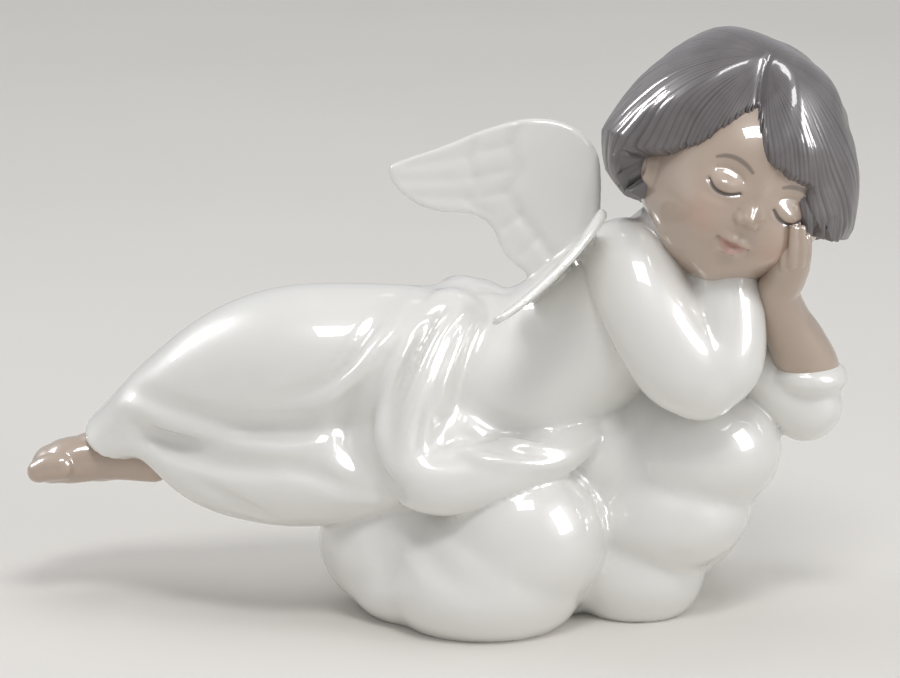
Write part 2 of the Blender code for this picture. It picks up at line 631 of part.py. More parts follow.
def head_radius(ways):
    """How far the surface of face and hair lies from the middle of the head, along each unit way."""
    azimuth, elevation = angles_of(ways)
    face = ray_to_ellipsoid(ways, *SKULL)
    for az, el, wide, tall, height in FACE_FORMS:
        for side in {-az, az}:
            face += height * np.exp(-(((azimuth - side) / wide) ** 2) - ((elevation - el) / tall) ** 2)
    places = np.stack([azimuth, elevation], axis=1)
    mirrored = places * np.array((-1, 1))
    for line, width, depth in FACE_CREASES:
        drawn = smooth_path(line, 4)
        both = np.minimum(distance_to_line(places, drawn), distance_to_line(mirrored, drawn))
        face += depth * np.exp(-((both / width) ** 2))
    ear = ((azimuth - EAR[0]) / 5.5) ** 2 + ((elevation - EAR[1]) / 8.5) ** 2
    face += 2.4 * np.exp(-(ear**2)) - 1.2 * np.exp(-ear * 5)

    corners = smooth_path([*FACE_EDGE, FACE_EDGE[0]], 4)
    gap = distance_to_line(places, corners)
    gap[inside_polygon(places, corners)] *= -1
    far, lock = strand_pattern(ways)
    hem = np.interp(azimuth, *np.transpose(HEM_HANGS)) + 2.5 * (lock - 0.5)
    covered = ramp(gap + 1.2 * lock, 0.2, 2.4) * ramp(elevation - hem, -1.5, 1.5)

    hair = ray_to_ellipsoid(ways, *HAIR)
    left = ramp(azimuth, 20, 55) - ramp(azimuth, 110, 170)
    right = ramp(-azimuth, 45, 85) - 0.5 * ramp(-azimuth, 120, 175)
    hair += left * np.interp(elevation, *np.transpose(FLARE_LEFT))
    hair += right * np.interp(elevation, *np.transpose(FLARE_RIGHT))
    lying = (1 - ramp(gap, -2, FRINGE_REACH)) * (1 - left) * (1 - right)
    hair -= (hair - face - FRINGE_THICK) * lying
    hair += ramp(far, 10, 45) * LOCK_HEIGHT * (lock - 0.5)
    hair += 1.3 * np.exp(-(((azimuth - 12) / 24) ** 2) - ((elevation - 10) / 14) ** 2)
    hair -= CROWN_SINK * ramp(elevation, 52, 80)
    part = distance_to_line(places, np.array([FACE_EDGE[0], (-30, 46), PARTING], float))
    hair -= 0.9 * np.exp(-((part / 2.2) ** 2))
    face *= 1 - 0.25 * ramp(-elevation, 40, 75) * ramp(np.abs(azimuth), 60, 120)
    return face + (np.maximum(hair, face + 0.8) - face) * covered


def head_frame():
    """From the head's own axes (left, up, ahead) to the figure's."""
    turned = (
        Matrix.Rotation(math.radians(HEAD_TILT), 3, "Y")
        @ Matrix.Rotation(math.radians(HEAD_TURN), 3, "Z")
        @ Matrix.Rotation(math.radians(HEAD_NOD), 3, "X")
    )
    own = Matrix(((1, 0, 0), (0, 0, -1), (0, 1, 0)))
    return np.array(turned @ own)


def head(detail):
    """The head as one surface round its middle, from a ball of the given number of subdivisions."""
    made = object_from("head", [], [])
    shape = bmesh.new()
    bmesh.ops.create_icosphere(shape, subdivisions=detail, radius=1.0)
    shape.to_mesh(made.data)
    shape.free()
    ways, _ = points_of(made)
    ways /= np.linalg.norm(ways, axis=1)[:, None]
    own = ways * head_radius(ways)[:, None]
    move_points(made, (own @ head_frame().T + HEAD_CENTRE) * UNIT)
    return made


def neck():
    return limb([(36, -3, 80, 10, 10), (42, -5, 88, 9, 9), (47, -7, 96, 10, 10)])


# Assembly

# Face and hand, where more triangles are kept, each as a middle and a reach round it
DETAILED_PLACES = [((48.6, -22.0, 96.8), 21), ((59.0, -24.0, 88.0), 8)]


def glaze():
    material = bpy.data.materials.new("white_glaze")
    material.use_nodes = True
    shader = material.node_tree.nodes["Principled BSDF"]
    shader.inputs["Base Color"].default_value = GLAZE_WHITE
    shader.inputs["Roughness"].default_value = GLAZE_ROUGHNESS
    shader.inputs["Metallic"].default_value = 0.0
    return material


def thin_out(made, budget):
    """Keeps about so many triangles, most where the surface turns and most of all on face and hand."""
    points, _ = points_of(made)
    thinned = made.vertex_groups.new(name="thinned")
    thinned.add(range(len(points)), 1.0, "ADD")
    for centre, reach in DETAILED_PLACES:
        near = np.linalg.norm(points / UNIT - centre, axis=1) < reach
        thinned.add([int(i) for i in np.flatnonzero(near)], DETAIL_SHARE, "REPLACE")
    thin = made.modifiers.new("thin", "DECIMATE")
    thin.use_collapse_triangulate = True
    thin.ratio = budget / sum(len(face.vertices) - 2 for face in made.data.polygons)
    thin.vertex_group = thinned.name
    thin.vertex_group_factor = DETAIL_STRENGTH * UNIT
    made.data = evaluated_mesh(made)
    made.modifiers.clear()
    made.vertex_groups.clear()


def build():
    for old in list(bpy.data.objects):
        bpy.data.objects.remove(old)
    forms = [
        robe(),
        near_arm(),
        far_sleeve(),
        cloud(),
        wing(*FAR_WING),
        wing(*NEAR_WING),
        neck(),
        head(6),
        hand(),
        foot(NEAR_FOOT_SHIFT),
        foot(FAR_FOOT_SHIFT),
    ]
    angel = fuse("sleeping_angel", forms, FINE_VOXEL, 0.45)
    thin_out(angel, TRIANGLE_BUDGET)
    cut(angel, (0, 0, 0), (0, 0, -1))
    angel.data.materials.append(glaze())
    angel.data.shade_smooth()
    return angel


build()
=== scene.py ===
"""The looks of the sleeping angel, a glazed porcelain figurine of a child on a cloud, its cheek on one hand.

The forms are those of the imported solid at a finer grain, with the combed hair, the features of the face, the
fingers and toes, the soft feathers and the folds. Forms are in millimetres, and MM turns them into metres.
"""

import math

import bmesh
import bpy
import numpy as np
from mathutils import Matrix, Vector
from mathutils.bvhtree import BVHTree


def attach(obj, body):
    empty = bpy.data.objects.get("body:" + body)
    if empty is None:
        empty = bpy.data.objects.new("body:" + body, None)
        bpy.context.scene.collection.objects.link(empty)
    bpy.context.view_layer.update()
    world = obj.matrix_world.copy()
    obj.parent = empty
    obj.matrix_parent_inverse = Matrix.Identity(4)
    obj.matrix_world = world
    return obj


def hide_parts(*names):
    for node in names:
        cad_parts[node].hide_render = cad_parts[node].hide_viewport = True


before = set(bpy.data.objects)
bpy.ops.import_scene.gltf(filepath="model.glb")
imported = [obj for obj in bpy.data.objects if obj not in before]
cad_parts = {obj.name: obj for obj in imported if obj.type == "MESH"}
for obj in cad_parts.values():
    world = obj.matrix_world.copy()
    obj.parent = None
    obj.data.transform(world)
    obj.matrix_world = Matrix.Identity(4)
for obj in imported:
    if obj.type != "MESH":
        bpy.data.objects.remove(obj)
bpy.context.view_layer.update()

MM = 0.001

# How finely the forms are fused, in metres, and the most triangles that the white piece keeps
FORM_VOXEL = 0.0008
SLEEVE_VOXEL = FORM_VOXEL * 0.7
HEM_VOXEL = FORM_VOXEL * 0.8
BODY_VOXEL = 0.00060
SKIN_VOXEL = 0.00032
WHITE_TRIANGLES = 196000

# How far the creases between fused forms are rounded, in millimetres
ROBE_BLEND = 1.9
HEM_BLEND = 0.8
ARM_BLEND = 0.9
SLEEVE_BLEND = 0.5
HAND_BLEND = 0.3
FOOT_BLEND = 0.35
CLOUD_BLEND = 2.3
BODY_BLEND = 0.45

# in metres
WING_THICKNESS = 0.0026

# How finely balls are divided, and how strongly each pass of the smoothing works
BALL_FINENESS = 5
SMOOTHING = 0.5

# The carving is drawn on the plane y = 0 and cast onto the forms from a point before or behind the figure.
FRONT_EYE = Vector((-17.2, -869.3, 294.1)) * MM
BACK_EYE = Vector((-17.2, 869.3, 294.1)) * MM
# how quickly a fold dies away at its ends: nearer nothing is more suddenly
FOLD_FADE = 0.6
# A limb that climbs by more than this share of its length counts as steep.
STEEP = 0.85


def placed(data):
    """A new object in the scene, named after its data."""
    made = bpy.data.objects.new(data.name, data)
    bpy.context.scene.collection.objects.link(made)
    return made


def object_from(name, points, faces):
    """A new mesh object in the scene."""
    mesh = bpy.data.meshes.new(name)
    mesh.from_pydata([tuple(p) for p in points], [], [tuple(f) for f in faces])
    return placed(mesh)


def ellipsoid(centre, radii, lean=0.0):
    """A ball stretched to three radii, leaning in the plane of the front by so many degrees."""
    made = object_from("ellipsoid", [], [])
    shape = bmesh.new()
    bmesh.ops.create_icosphere(shape, subdivisions=BALL_FINENESS, radius=1.0)
    turn = Matrix.Rotation(math.radians(lean), 4, "Y")
    size = Vector(radii) * MM
    shape.transform(Matrix.Translation(Vector(centre) * MM) @ turn @ Matrix.Diagonal((*size, 1.0)))
    shape.to_mesh(made.data)
    shape.free()
    return made


def smooth_path(stations, per_span=10):
    """A Catmull-Rom curve through the stations. Every value that a station holds is carried along."""
    p = np.array(stations, float)
    p = np.vstack([2 * p[0] - p[1], p, 2 * p[-1] - p[-2]])
    t = np.linspace(0, 1, per_span, endpoint=False)[:, None]
    spans = []
    for a, b, c, d in zip(p, p[1:], p[2:], p[3:]):
        curve = 2 * b + (c - a) * t + (2 * a - 5 * b + 4 * c - d) * t**2 + (3 * b - a - 3 * c + d) * t**3
        spans.append(curve / 2)
    return np.vstack([*spans, p[-2][None]])


def limb(stations, sides=40, cap_rings=7):
    """A tube with round ends through stations of x, y, z, half height and half depth.

    In a steep tube the half height is a half width instead, along x.
    """
    path = smooth_path(stations) * MM
    centres = path[:, :3]
    radii = path[:, 3:]
    along = np.gradient(centres, axis=0)
    along /= np.linalg.norm(along, axis=1)[:, None]
    rings = []
    angles = np.linspace(0, math.pi / 2, cap_rings, endpoint=False)[1:]
    for k in angles[::-1]:
        reach = radii[0].mean() * math.sin(k)
        rings.append((centres[0] - along[0] * reach, radii[0] * math.cos(k), along[0]))
    rings += list(zip(centres, radii, along))
    for k in angles:
        reach = radii[-1].mean() * math.sin(k)
        rings.append((centres[-1] + along[-1] * reach, radii[-1] * math.cos(k), along[-1]))
    turn = np.linspace(0, 2 * math.pi, sides, endpoint=False)[:, None]
    whole = centres[-1] - centres[0]
    steep = abs(whole[2]) > STEEP * np.linalg.norm(whole)
    hint = np.array((-1.0, 0.0, 0.0) if steep else (0.0, 0.0, 1.0))
    points = []
    for centre, radius, way in rings:
        height = hint - way * (hint @ way)
        height /= np.linalg.norm(height)
        depth = np.cross(way, height)
        points.append(centre + np.cos(turn) * radius[0] * height + np.sin(turn) * radius[1] * depth)
    points = np.vstack(points)
    faces = []
    for ring in range(len(rings) - 1):
        for side in range(sides):
            following = (side + 1) % sides
            low, high = ring * sides, (ring + 1) * sides
            faces.append((low + side, low + following, high + following, high + side))
    faces.append(tuple(range(sides))[::-1])
    faces.append(tuple(range(len(points) - sides, len(points))))
    return object_from("limb", points, faces)


def evaluated_mesh(made):
    """The mesh of an object with its modifiers worked out."""
    graph = bpy.context.evaluated_depsgraph_get()
    return bpy.data.meshes.new_from_object(made.evaluated_get(graph))


def fuse(name, forms, voxel, blend):
    """One skin round all the forms, with the creases between them rounded to about blend."""
    shape = bmesh.new()
    for form in forms:
        shape.from_mesh(form.data)
        bpy.data.objects.remove(form)
    joined = object_from(name, [], [])
    shape.to_mesh(joined.data)
    shape.free()
    skin = joined.modifiers.new("skin", "REMESH")
    skin.mode = "VOXEL"
    skin.voxel_size = voxel
    soften = joined.modifiers.new("soften", "SMOOTH")
    soften.factor = SMOOTHING
    soften.iterations = max(1, round((2 * blend * MM / voxel) ** 2))
    joined.data = evaluated_mesh(joined)
    joined.modifiers.clear()
    return joined


def points_of(made):
    """The vertices and the normals of an object's mesh as arrays."""
    count = len(made.data.vertices)
    points = np.empty(count * 3)
    normals = np.empty(count * 3)
    made.data.vertices.foreach_get("co", points)
    made.data.vertices.foreach_get("normal", normals)
    return points.reshape(-1, 3), normals.reshape(-1, 3)


def move_points(made, points):
    """Puts the vertices of an object's mesh where an array says."""
    made.data.vertices.foreach_set("co", points.ravel())
    made.data.update()


def cast(made, drawn, eye):
    """Lays a line drawn on the plane y = 0 onto an object, as seen from the eye."""
    tree = BVHTree.FromObject(made, bpy.context.evaluated_depsgraph_get())
    laid = []
    for x, z in smooth_path(drawn):
        hit = tree.ray_cast(eye, (Vector((x, 0, z)) * MM - eye).normalized())[0]
        if hit is not None:
            laid.append(hit)
    return np.array(laid)


def press(made, strokes, eye=FRONT_EYE):
    """Raises or sinks the skin along strokes, each a drawn line, a half width and a height."""
    laid = [(cast(made, line, eye), width * MM, height * MM) for line, width, height in strokes]
    for line, width, height in laid:
        if not len(line):
            continue
        points, normals = points_of(made)
        near = np.all((points > line.min(0) - width) & (points < line.max(0) + width), axis=1)
        chosen = np.flatnonzero(near)
        gaps = np.linalg.norm(points[chosen, None, :] - line[None], axis=2)
        nearest = gaps.argmin(1)
        gap = gaps[np.arange(len(chosen)), nearest]
        ends = np.sin(math.pi * (nearest + 1) / (len(line) + 1)) ** FOLD_FADE
        rise = height * ends * np.where(gap < width, np.cos(gap / width * math.pi / 2) ** 2, 0)
        points[chosen] += normals[chosen] * rise[:, None]
        move_points(made, points)


def cut(made, point, away):
    """Takes off what lies beyond a plane and closes the cut with one flat face."""
    shape = bmesh.new()
    shape.from_mesh(made.data)
    everything = shape.verts[:] + shape.edges[:] + shape.faces[:]
    bmesh.ops.bisect_plane(
        shape, geom=everything, dist=1e-6, plane_co=Vector(point) * MM, plane_no=away, clear_outer=True
    )
    bmesh.ops.edgeloop_fill(shape, edges=[edge for edge in shape.edges if edge.is_boundary])
    bmesh.ops.recalc_face_normals(shape, faces=shape.faces)
    shape.to_mesh(made.data)
    shape.free()


# Robe

# Where the hem crosses the ankles: a point on it and the way down to the bare foot.
HEM_POINT = (-91, -5, 34.6)
HEM_DOWN = (-0.40, 0.26, -0.88)

# Each fold is a line on the front plane, x and z, then its half width and its height.
FRONT_FOLDS = [
    # the crease between the thigh and the cloth gathered at the hip, and the ridge beside it
    ([(-27.7, 73), (-32, 67.5), (-36.2, 61), (-40.5, 55), (-45, 51), (-51, 48), (-58, 45.5)], 4, -1.7),
    ([(-25.5, 73), (-28.6, 65), (-34.3, 58), (-39.4, 52), (-46, 47), (-53, 44.5)], 4, 1.9),
    # four gathers that sweep from the waist down to the lap, and the valleys between them
    ([(-20.6, 71.5), (-26.8, 61), (-31.4, 50), (-33.2, 42), (-33.6, 35)], 3.4, 1.9),
    ([(-17, 69), (-21.5, 63), (-26.6, 54), (-29.8, 45.5), (-31.4, 38)], 2.4, -1.7),
    ([(-14.9, 69), (-19.5, 61), (-24.3, 49), (-26.8, 41), (-28, 33)], 3.2, 1.5),
    ([(-17, 60), (-21.2, 50), (-24.2, 41), (-25.4, 34)], 1.8, -0.9),
    ([(-19.5, 54), (-21.8, 48), (-22.8, 42), (-24, 32)], 2.2, 1),
    ([(-12.5, 66), (-16.5, 58), (-19, 50), (-19.8, 44)], 2.6, 1.1),
    ([(-9, 66), (-12, 58), (-15, 49), (-16, 42)], 3.2, -0.9),
    # the deep valley to the left of the gathers
    ([(-36.5, 50), (-39.6, 43), (-39.8, 36), (-36.6, 30), (-31.5, 25.5), (-27, 23)], 6, -3),
    # the two soft folds that run along the belly to the corner under the arm
    ([(-13, 41), (-9.5, 39), (-4, 37), (3.2, 35.4), (12, 35)], 2.8, 0.9),
    ([(-16.5, 36), (-13, 34), (-6.6, 32), (3.2, 31.4), (12, 32.6)], 3, 1.1),
    ([(-14, 37.6), (-5.7, 34.5), (3.2, 33.3), (11, 33.8)], 2, -0.6),
    ([(-13, 47), (-6, 41.2), (4, 38), (14, 38.2)], 4.6, -0.9),
    # the two legs under the cloth, and the creases below the knee
    ([(-90, 48), (-79, 44), (-66.5, 41), (-56, 41), (-47, 43.5)], 5, -1.3),
    ([(-93, 45.5), (-86, 42.7), (-74.5, 39), (-64, 35.6), (-53.5, 35), (-46, 38)], 4.4, 1.7),
    ([(-91, 43), (-85, 38), (-78, 34.3), (-68.7, 31.2), (-58.4, 30.4), (-50, 31)], 4.6, -1.8),
    ([(-55, 30.5), (-48, 28.6), (-40, 25.4), (-30, 23)], 3.6, -1.5),
    ([(-77, 27.4), (-66.5, 22), (-59, 18.4)], 2.8, -1.2),
    # a tuck at the waist
    ([(-12, 72.5), (-8, 73), (-3.5, 71.8)], 1.8, -1),
]

# The plainer folds of the hidden side
BACK_FOLDS = [
    ([(-14, 74), (-22, 62), (-26, 48), (-24, 34)], 4.6, 1.6),
    ([(-8, 72), (-14, 60), (-17, 46), (-15, 34)], 3.6, 1.4),
    ([(-20, 72), (-29, 60), (-33, 46), (-31, 33)], 4, -1.3),
    ([(-11, 71), (-18, 58), (-21, 45), (-20, 34)], 2.6, -1.1),
    ([(-84, 46), (-70, 42), (-56, 41), (-42, 45)], 5, -1.5),
    ([(-74, 52), (-62, 55), (-48, 58), (-34, 62)], 4, -0.9),
]


def robe():
    """The gown over legs, hips and chest, with the cloth gathered at the hip and rolled over the cloud."""
    legs = limb([
        (-19.5, -2, 54.5, 19.2, 18), (-37.7, -6, 56.5, 19, 19), (-53.6, -7, 56.5, 18.6, 18),
        (-67.3, -6, 53.1, 16.4, 15), (-80.1, -2, 47.6, 11.6, 14), (-90.7, 1.5, 40.6, 8, 13),
        (-98.5, 2.5, 34.8, 6.3, 12), (-104, 2.5, 30, 6, 11.5),
    ])
    drape = limb([
        (-12.5, -10, 42.5, 13, 13), (-19.5, -12, 40.5, 14.4, 15), (-33.1, -13, 37.7, 14.2, 15),
        (-46.7, -13, 34.8, 13.6, 15), (-59.3, -11, 33.8, 12.6, 15), (-70.9, -8, 34, 9.8, 13),
        (-82.6, -2, 38.5, 5, 13), (-92, 1, 38, 4.5, 12),
    ])
    hip = limb([(-14, 2, 58, 17, 17), (-20, -8, 42, 16, 16)])
    chest = limb([
        (-17.2, -1, 52, 21, 20), (-5.7, -1, 51.3, 20.4, 21), (5.7, -1, 56, 19.4, 21),
        (16.9, -2, 65.6, 18, 19), (25.9, -2, 75, 16.5, 18), (32, -3, 83, 11, 16),
    ])
    swath = limb([
        (-17, -8, 66, 9.5, 9), (-23, -17, 56, 8.5, 9), (-26.5, -22, 46, 8, 8),
        (-26, -25.5, 38, 7.6, 8), (-19, -28, 35.4, 7.6, 8), (-8, -27.5, 37.2, 7.4, 7.5),
        (3, -23.5, 39.4, 6.2, 6.6), (11, -18, 41.4, 4.6, 5), (17, -13, 43.2, 3, 3.6),
    ])
    made = fuse("robe", [legs, drape, hip, chest, swath], FORM_VOXEL, ROBE_BLEND)
    press(made, FRONT_FOLDS)
    press(made, BACK_FOLDS, BACK_EYE)
    cut(made, HEM_POINT, HEM_DOWN)
    return fuse("robe", [made], HEM_VOXEL, HEM_BLEND)


# Arms, hand and feet

def near_arm():
    """The right arm, folded under the chin with its elbow on the cloud."""
    upper = limb([
        (22.5, -10, 82.3, 9.6, 10.5), (24.5, -15, 79.6, 10.2, 11), (27.5, -20, 72.5, 10.4, 11),
        (33.5, -23.5, 63, 10.8, 11), (38.5, -24, 59.6, 10.6, 10.5),
    ])
    fore = limb([
        (38.5, -24, 59.8, 10.6, 10.5), (43.6, -22.5, 63, 9.6, 10), (45.2, -19.5, 71, 8.2, 9),
        (44.4, -15, 79, 7.7, 8.5), (43, -10, 85, 7.8, 8.5),
    ])
    return fuse("near_arm", [upper, fore], FORM_VOXEL, ARM_BLEND)


def far_sleeve():
    """The left sleeve, from the far shoulder down to the elbow, with its rolled cuff."""
    sleeve = limb([
        (38, 6, 78, 11, 12), (46.5, 3, 67, 10, 12), (55.5, -4, 55, 8, 10), (64, -8, 47.8, 8.6, 7.8),
    ])
    cuff = ellipsoid((63.8, -8.0, 55.2), (9.6, 9.6, 4.5), lean=4)
    return fuse("far_sleeve", [sleeve, cuff], SLEEVE_VOXEL, SLEEVE_BLEND)


# The four fingers, each with its root, its tip and its half thickness.
FINGERS = [
    ((56.5, -27, 84.8), (56.3, -27.5, 91), 1.15),
    ((58.1, -28.5, 85.8), (58.2, -30, 94.4), 1.2),
    ((59.9, -28, 86), (60.1, -29.8, 94.2), 1.15),
    ((61.4, -26.5, 86), (61.5, -27.8, 92), 1.05),
]
# how far a finger bows at its middle, and its height and depth at root, middle and tip, as shares
FINGER_BOW = (0.1, -0.5, 0)
FINGER_TAPER = [(1, 1.2), (1, 1.15), (0.8, 0.85)]
# Fingers and toes are thin limbs with few sides.
DIGIT = {"sides": 20, "cap_rings": 4}


def hand():
    """The left forearm and the hand that holds the cheek."""
    forms = [limb([
        (64.6, -7.5, 55, 7.2, 7), (63.3, -9, 58.4, 7.2, 7), (60.8, -12, 64.2, 6.5, 6.3),
        (58, -15, 69.9, 5.7, 5.6), (55.9, -19, 77.2, 4.9, 4.8), (57.3, -21.5, 80.8, 4.6, 4.2),
        (58.4, -24.5, 84.5, 4.2, 3.4), (59, -26.5, 87, 3.6, 2.6),
    ])]
    for root, tip, thick in FINGERS:
        root, tip = Vector(root), Vector(tip)
        middle = root.lerp(tip, 0.5) + Vector(FINGER_BOW)
        places = zip((root, middle, tip), FINGER_TAPER)
        stations = [(*place, thick * high, thick * deep) for place, (high, deep) in places]
        forms.append(limb(stations, **DIGIT))
    return fuse("hand", forms, SKIN_VOXEL, HAND_BLEND)


# The toes from the big one outwards, each with its reach and its half thickness.
TOES = [(0.6, 3.0), (1.2, 2.3), (0.8, 2.1), (0.0, 1.9), (-0.9, 1.7)]
BIG_TOE_ACROSS = -7.4
TOE_STEP = 2.3
# A toe from root to tip: x and z, and the shares of its reach and of its thickness up and across.
TOE_STATIONS = [(-106.2, 33.0, 0, 1.1, 1), (-108.8, 32.6, 0.5, 1.05, 1), (-110.8, 31.8, 1, 0.9, 0.9)]
# Where the two feet lie, measured from the near one.
NEAR_FOOT_SHIFT = (0, 0, 0)
FAR_FOOT_SHIFT = (6.0, 10.0, -2.6)


def foot(shift):
    """A bare foot pointing to -X with its sole down, moved by shift from the near foot's place."""
    sole = limb([
        (-85.5, -2.4, 32.3, 4.4, 5), (-94, -2.6, 33, 4.5, 4.6), (-100.5, -2.8, 33.5, 5.4, 5.1),
        (-105.5, -3, 33, 5.3, 5.8), (-108.4, -3.2, 32.4, 4.5, 5.6),
    ])
    ankle = limb([(-86, -2, 38.5, 5.2, 5), (-95.5, -2.2, 36.8, 4.4, 4.4), (-102.5, -2.6, 35.4, 3.4, 4.0)])
    toes = []
    for number, (reach, thick) in enumerate(TOES):
        across = BIG_TOE_ACROSS + number * TOE_STEP
        stations = [
            (x - reach * share, across, z, thick * high, thick * deep)
            for x, z, share, high, deep in TOE_STATIONS
        ]
        toes.append(limb(stations, **DIGIT))
    made = fuse("foot", [sole, ankle, *toes], SKIN_VOXEL, FOOT_BLEND)
    points, _ = points_of(made)
    move_points(made, points + np.array(shift) * MM)
    return made


# Cloud

# Each lobe has its middle, its three radii and, where it leans, by how many degrees.
CLOUD_CORE = [((-4, -2, 16), (34, 26, 22)), ((30, 0, 28), (24, 20, 26)), ((17, -5, 38), (12, 14, 13))]
CLOUD_FRONT = [
    ((-1, -20.5, 20), (19, 18.5, 18.5)),
    ((-9.5, -18.5, 11), (24, 21.5, 17)),
    ((-27, -8, 16), (20.5, 19, 17.5)),
    ((-24, -13, 8.5), (17, 16, 11.5)),
    ((25.5, -9, 9), (16, 16, 14)),
    ((33.5, -10, 23), (18.5, 17.5, 13.5), -10),
    ((41, -9, 37.5), (17.6, 17, 14.8), -6),
]
CLOUD_BACK = [
    ((-24, 14, 14), (18, 17, 17)),
    ((2, 21, 13), (20, 16, 18)),
    ((30, 14, 12), (18, 17, 16)),
    ((38, 12, 32), (17, 15, 16)),
    ((8, 16, 34), (19, 14, 15)),
]

# The soft valleys between the cloud's front lobes, as lines on the front plane, half widths and heights.
CLOUD_CREASES = [
    ([(-25.5, 20), (-24, 14), (-21.5, 8), (-16.5, 3), (-8, 0)], 6, -1.3),
    ([(-33.5, 20), (-32.6, 12), (-30.5, 5), (-28, -1)], 6.5, -1),
]


def cloud():
    """Heaped round lobes. Those at the back are plainer copies of those in front."""
    lobes = [ellipsoid(*lobe) for lobe in CLOUD_CORE + CLOUD_FRONT + CLOUD_BACK]
    made = fuse("cloud", lobes, FORM_VOXEL, CLOUD_BLEND)
    press(made, CLOUD_CREASES)
    return made


# Wings

# The outline of a wing, from its root up and round the tip to the foot of its root, in the wing's own plane:
# outwards along the feathers, then up.
WING_OUTLINE = [
    (-7.5, 6), (-7.6, 15), (-6.4, 21.5), (-1.5, 26.8), (7, 28.9), (17, 27),
    (28.9, 22.3), (37.5, 19.2), (41, 17.4), (40, 13.4), (35, 9.2), (29, 7.2),
    (21.5, 6.6), (17.2, 3.6), (14.6, -1.8), (10.6, -5.6), (6.5, -7.8), (-1, -2),
]
WING_HEART = (9.0, 12.0)
WING_REACH = max(out for out, _ in WING_OUTLINE)
# how thick the tip is beside the root
WING_TIP_SHARE = 0.65
# how far in from its edge the plate rounds over, as a share of its thickness
WING_RIM_SHARE = 0.55

# The lines where one row of feathers overlaps the next, and the quills within the rows, in the wing's plane.
# Each line has its half width and, as a share of the wing's thickness, its depth.
INNER_ROW = [(11.5, 27.2), (12.6, 21.5), (11.4, 16.5), (13.0, 11.5), (10.5, 6.5), (6.5, 1.5), (3.0, -3.0)]
OUTER_ROW = [(21.0, 24.8), (22.6, 19.0), (21.2, 14.0), (22.4, 9.5), (18.0, 6.0)]
INNER_QUILLS = [
    [(13.5, 22.6), (21, 20.8)], [(13, 16.8), (21, 15.2)], [(13.8, 11.8), (20.5, 10.4)],
    [(10.5, 6.6), (15.4, 3.4)], [(6.5, 1.6), (11.5, -3.2)],
]
OUTER_QUILLS = [[(23, 20), (37, 17.6)], [(22.8, 14.8), (38.5, 14.2)], [(23, 10.4), (35.5, 10.6)]]
FEATHER_LINES = [(INNER_ROW, 1.5, 0.25), (OUTER_ROW, 1.4, 0.22)]
FEATHER_LINES += [(line, 1.0, 0.12) for line in INNER_QUILLS]
FEATHER_LINES += [(line, 1.1, 0.11) for line in OUTER_QUILLS]
# how many rings of points a wing has, its heart and its rim among them
WING_RINGS = 34

# The two wings, each with its origin, its ways outwards and upwards, its size, its bow and its slant.
FAR_WING = ((9.5, 1.5, 83.0), (-1.0, 0.05, 0.0), (0.0, 0.26, 0.97), 1.0, 2.2, 0)
NEAR_WING = ((6.6, -12.2, 79.9), (-0.53, -0.79, -0.355), (0.44, -0.60, 0.645), 0.88, 8.0, 40)


def wing(origin, outwards, upwards, size, bow, slant):
    """A plate with a rounded rim and sunk feather lines, in the plane of outwards and upwards.

    The bow is how far it curls out of that plane over the reach of a wing. The slant, in degrees, turns the
    line across which it curls from outwards to downwards.
    """
    rim = smooth_path([*WING_OUTLINE, WING_OUTLINE[0]], per_span=8)[:-1]
    heart = np.array(WING_HEART)
    shares = np.sin(np.linspace(0, math.pi / 2, WING_RINGS))
    rows = [heart + (rim - heart) * share for share in shares[1:]]
    flat = np.vstack([heart[None], *rows])
    reach = np.linalg.norm(rim - heart, axis=1)
    inset = np.concatenate([[reach.max()], np.outer(1 - shares[1:], reach).ravel()]) * MM
    rounding = 1 - np.clip(inset / (WING_THICKNESS * WING_RIM_SHARE), 0, 1)
    along = flat[:, 0] / WING_REACH
    half = WING_THICKNESS / 2 * np.sqrt(1 - rounding**2)
    half *= 1 - (1 - WING_TIP_SHARE) * np.clip(along, 0, 1)
    for line, width, depth in FEATHER_LINES:
        drawn = smooth_path(line)
        gap = np.linalg.norm(flat[:, None] - drawn[None], axis=2).min(1)
        half -= depth * WING_THICKNESS * np.exp(-((gap / width) ** 2)) * np.clip(inset / WING_THICKNESS, 0, 1)
    half = np.maximum(half, 0)
    out, up = Vector(outwards).normalized(), Vector(upwards)
    up = (up - out * up.dot(out)).normalized()
    face = np.array(out.cross(up))
    slanted = math.radians(slant)
    across = (flat[:, 0] * math.cos(slanted) - flat[:, 1] * math.sin(slanted)) / WING_REACH
    curl = bow * across**2
    laid = size * (flat[:, :1] * np.array(out) + flat[:, 1:] * np.array(up)) + curl[:, None] * face
    laid = (laid + origin) * MM
    around = len(rim)
    rings = len(shares) - 1
    front = laid + half[:, None] * face
    back = laid - half[:, None] * face
    back_start = len(front)
    points = np.vstack([front, back[: 1 + (rings - 1) * around]])
    faces = []
    for side in range(around):
        after = (side + 1) % around
        faces.append((0, 1 + side, 1 + after))
        faces.append((back_start, back_start + 1 + after, back_start + 1 + side))
        for ring in range(rings - 1):
            inner, outer = 1 + ring * around, 1 + (ring + 1) * around
            faces.append((inner + side, outer + side, outer + after, inner + after))
            # the last ring is the rim itself, which both faces of the plate share
            shared = 0 if ring == rings - 2 else back_start
            low = back_start + inner
            high = shared + outer
            faces.append((low + after, high + after, high + side, low + side))
    return object_from("wing", points, faces)


# Head

HEAD_CENTRE = (48.6, -8.0, 102.8)
HEAD_NOD = -12.6
HEAD_TURN = 5.4
HEAD_TILT = 27.1

# The balls that skin and hair are pushed out from, each with its middle and its three radii
SKULL = ((0.0, -1.6, 0.2), (21.6, 25.4, 23.2))
HAIR = ((-3.0, 1.4, -0.8), (26.4, 31.0, 28.4))

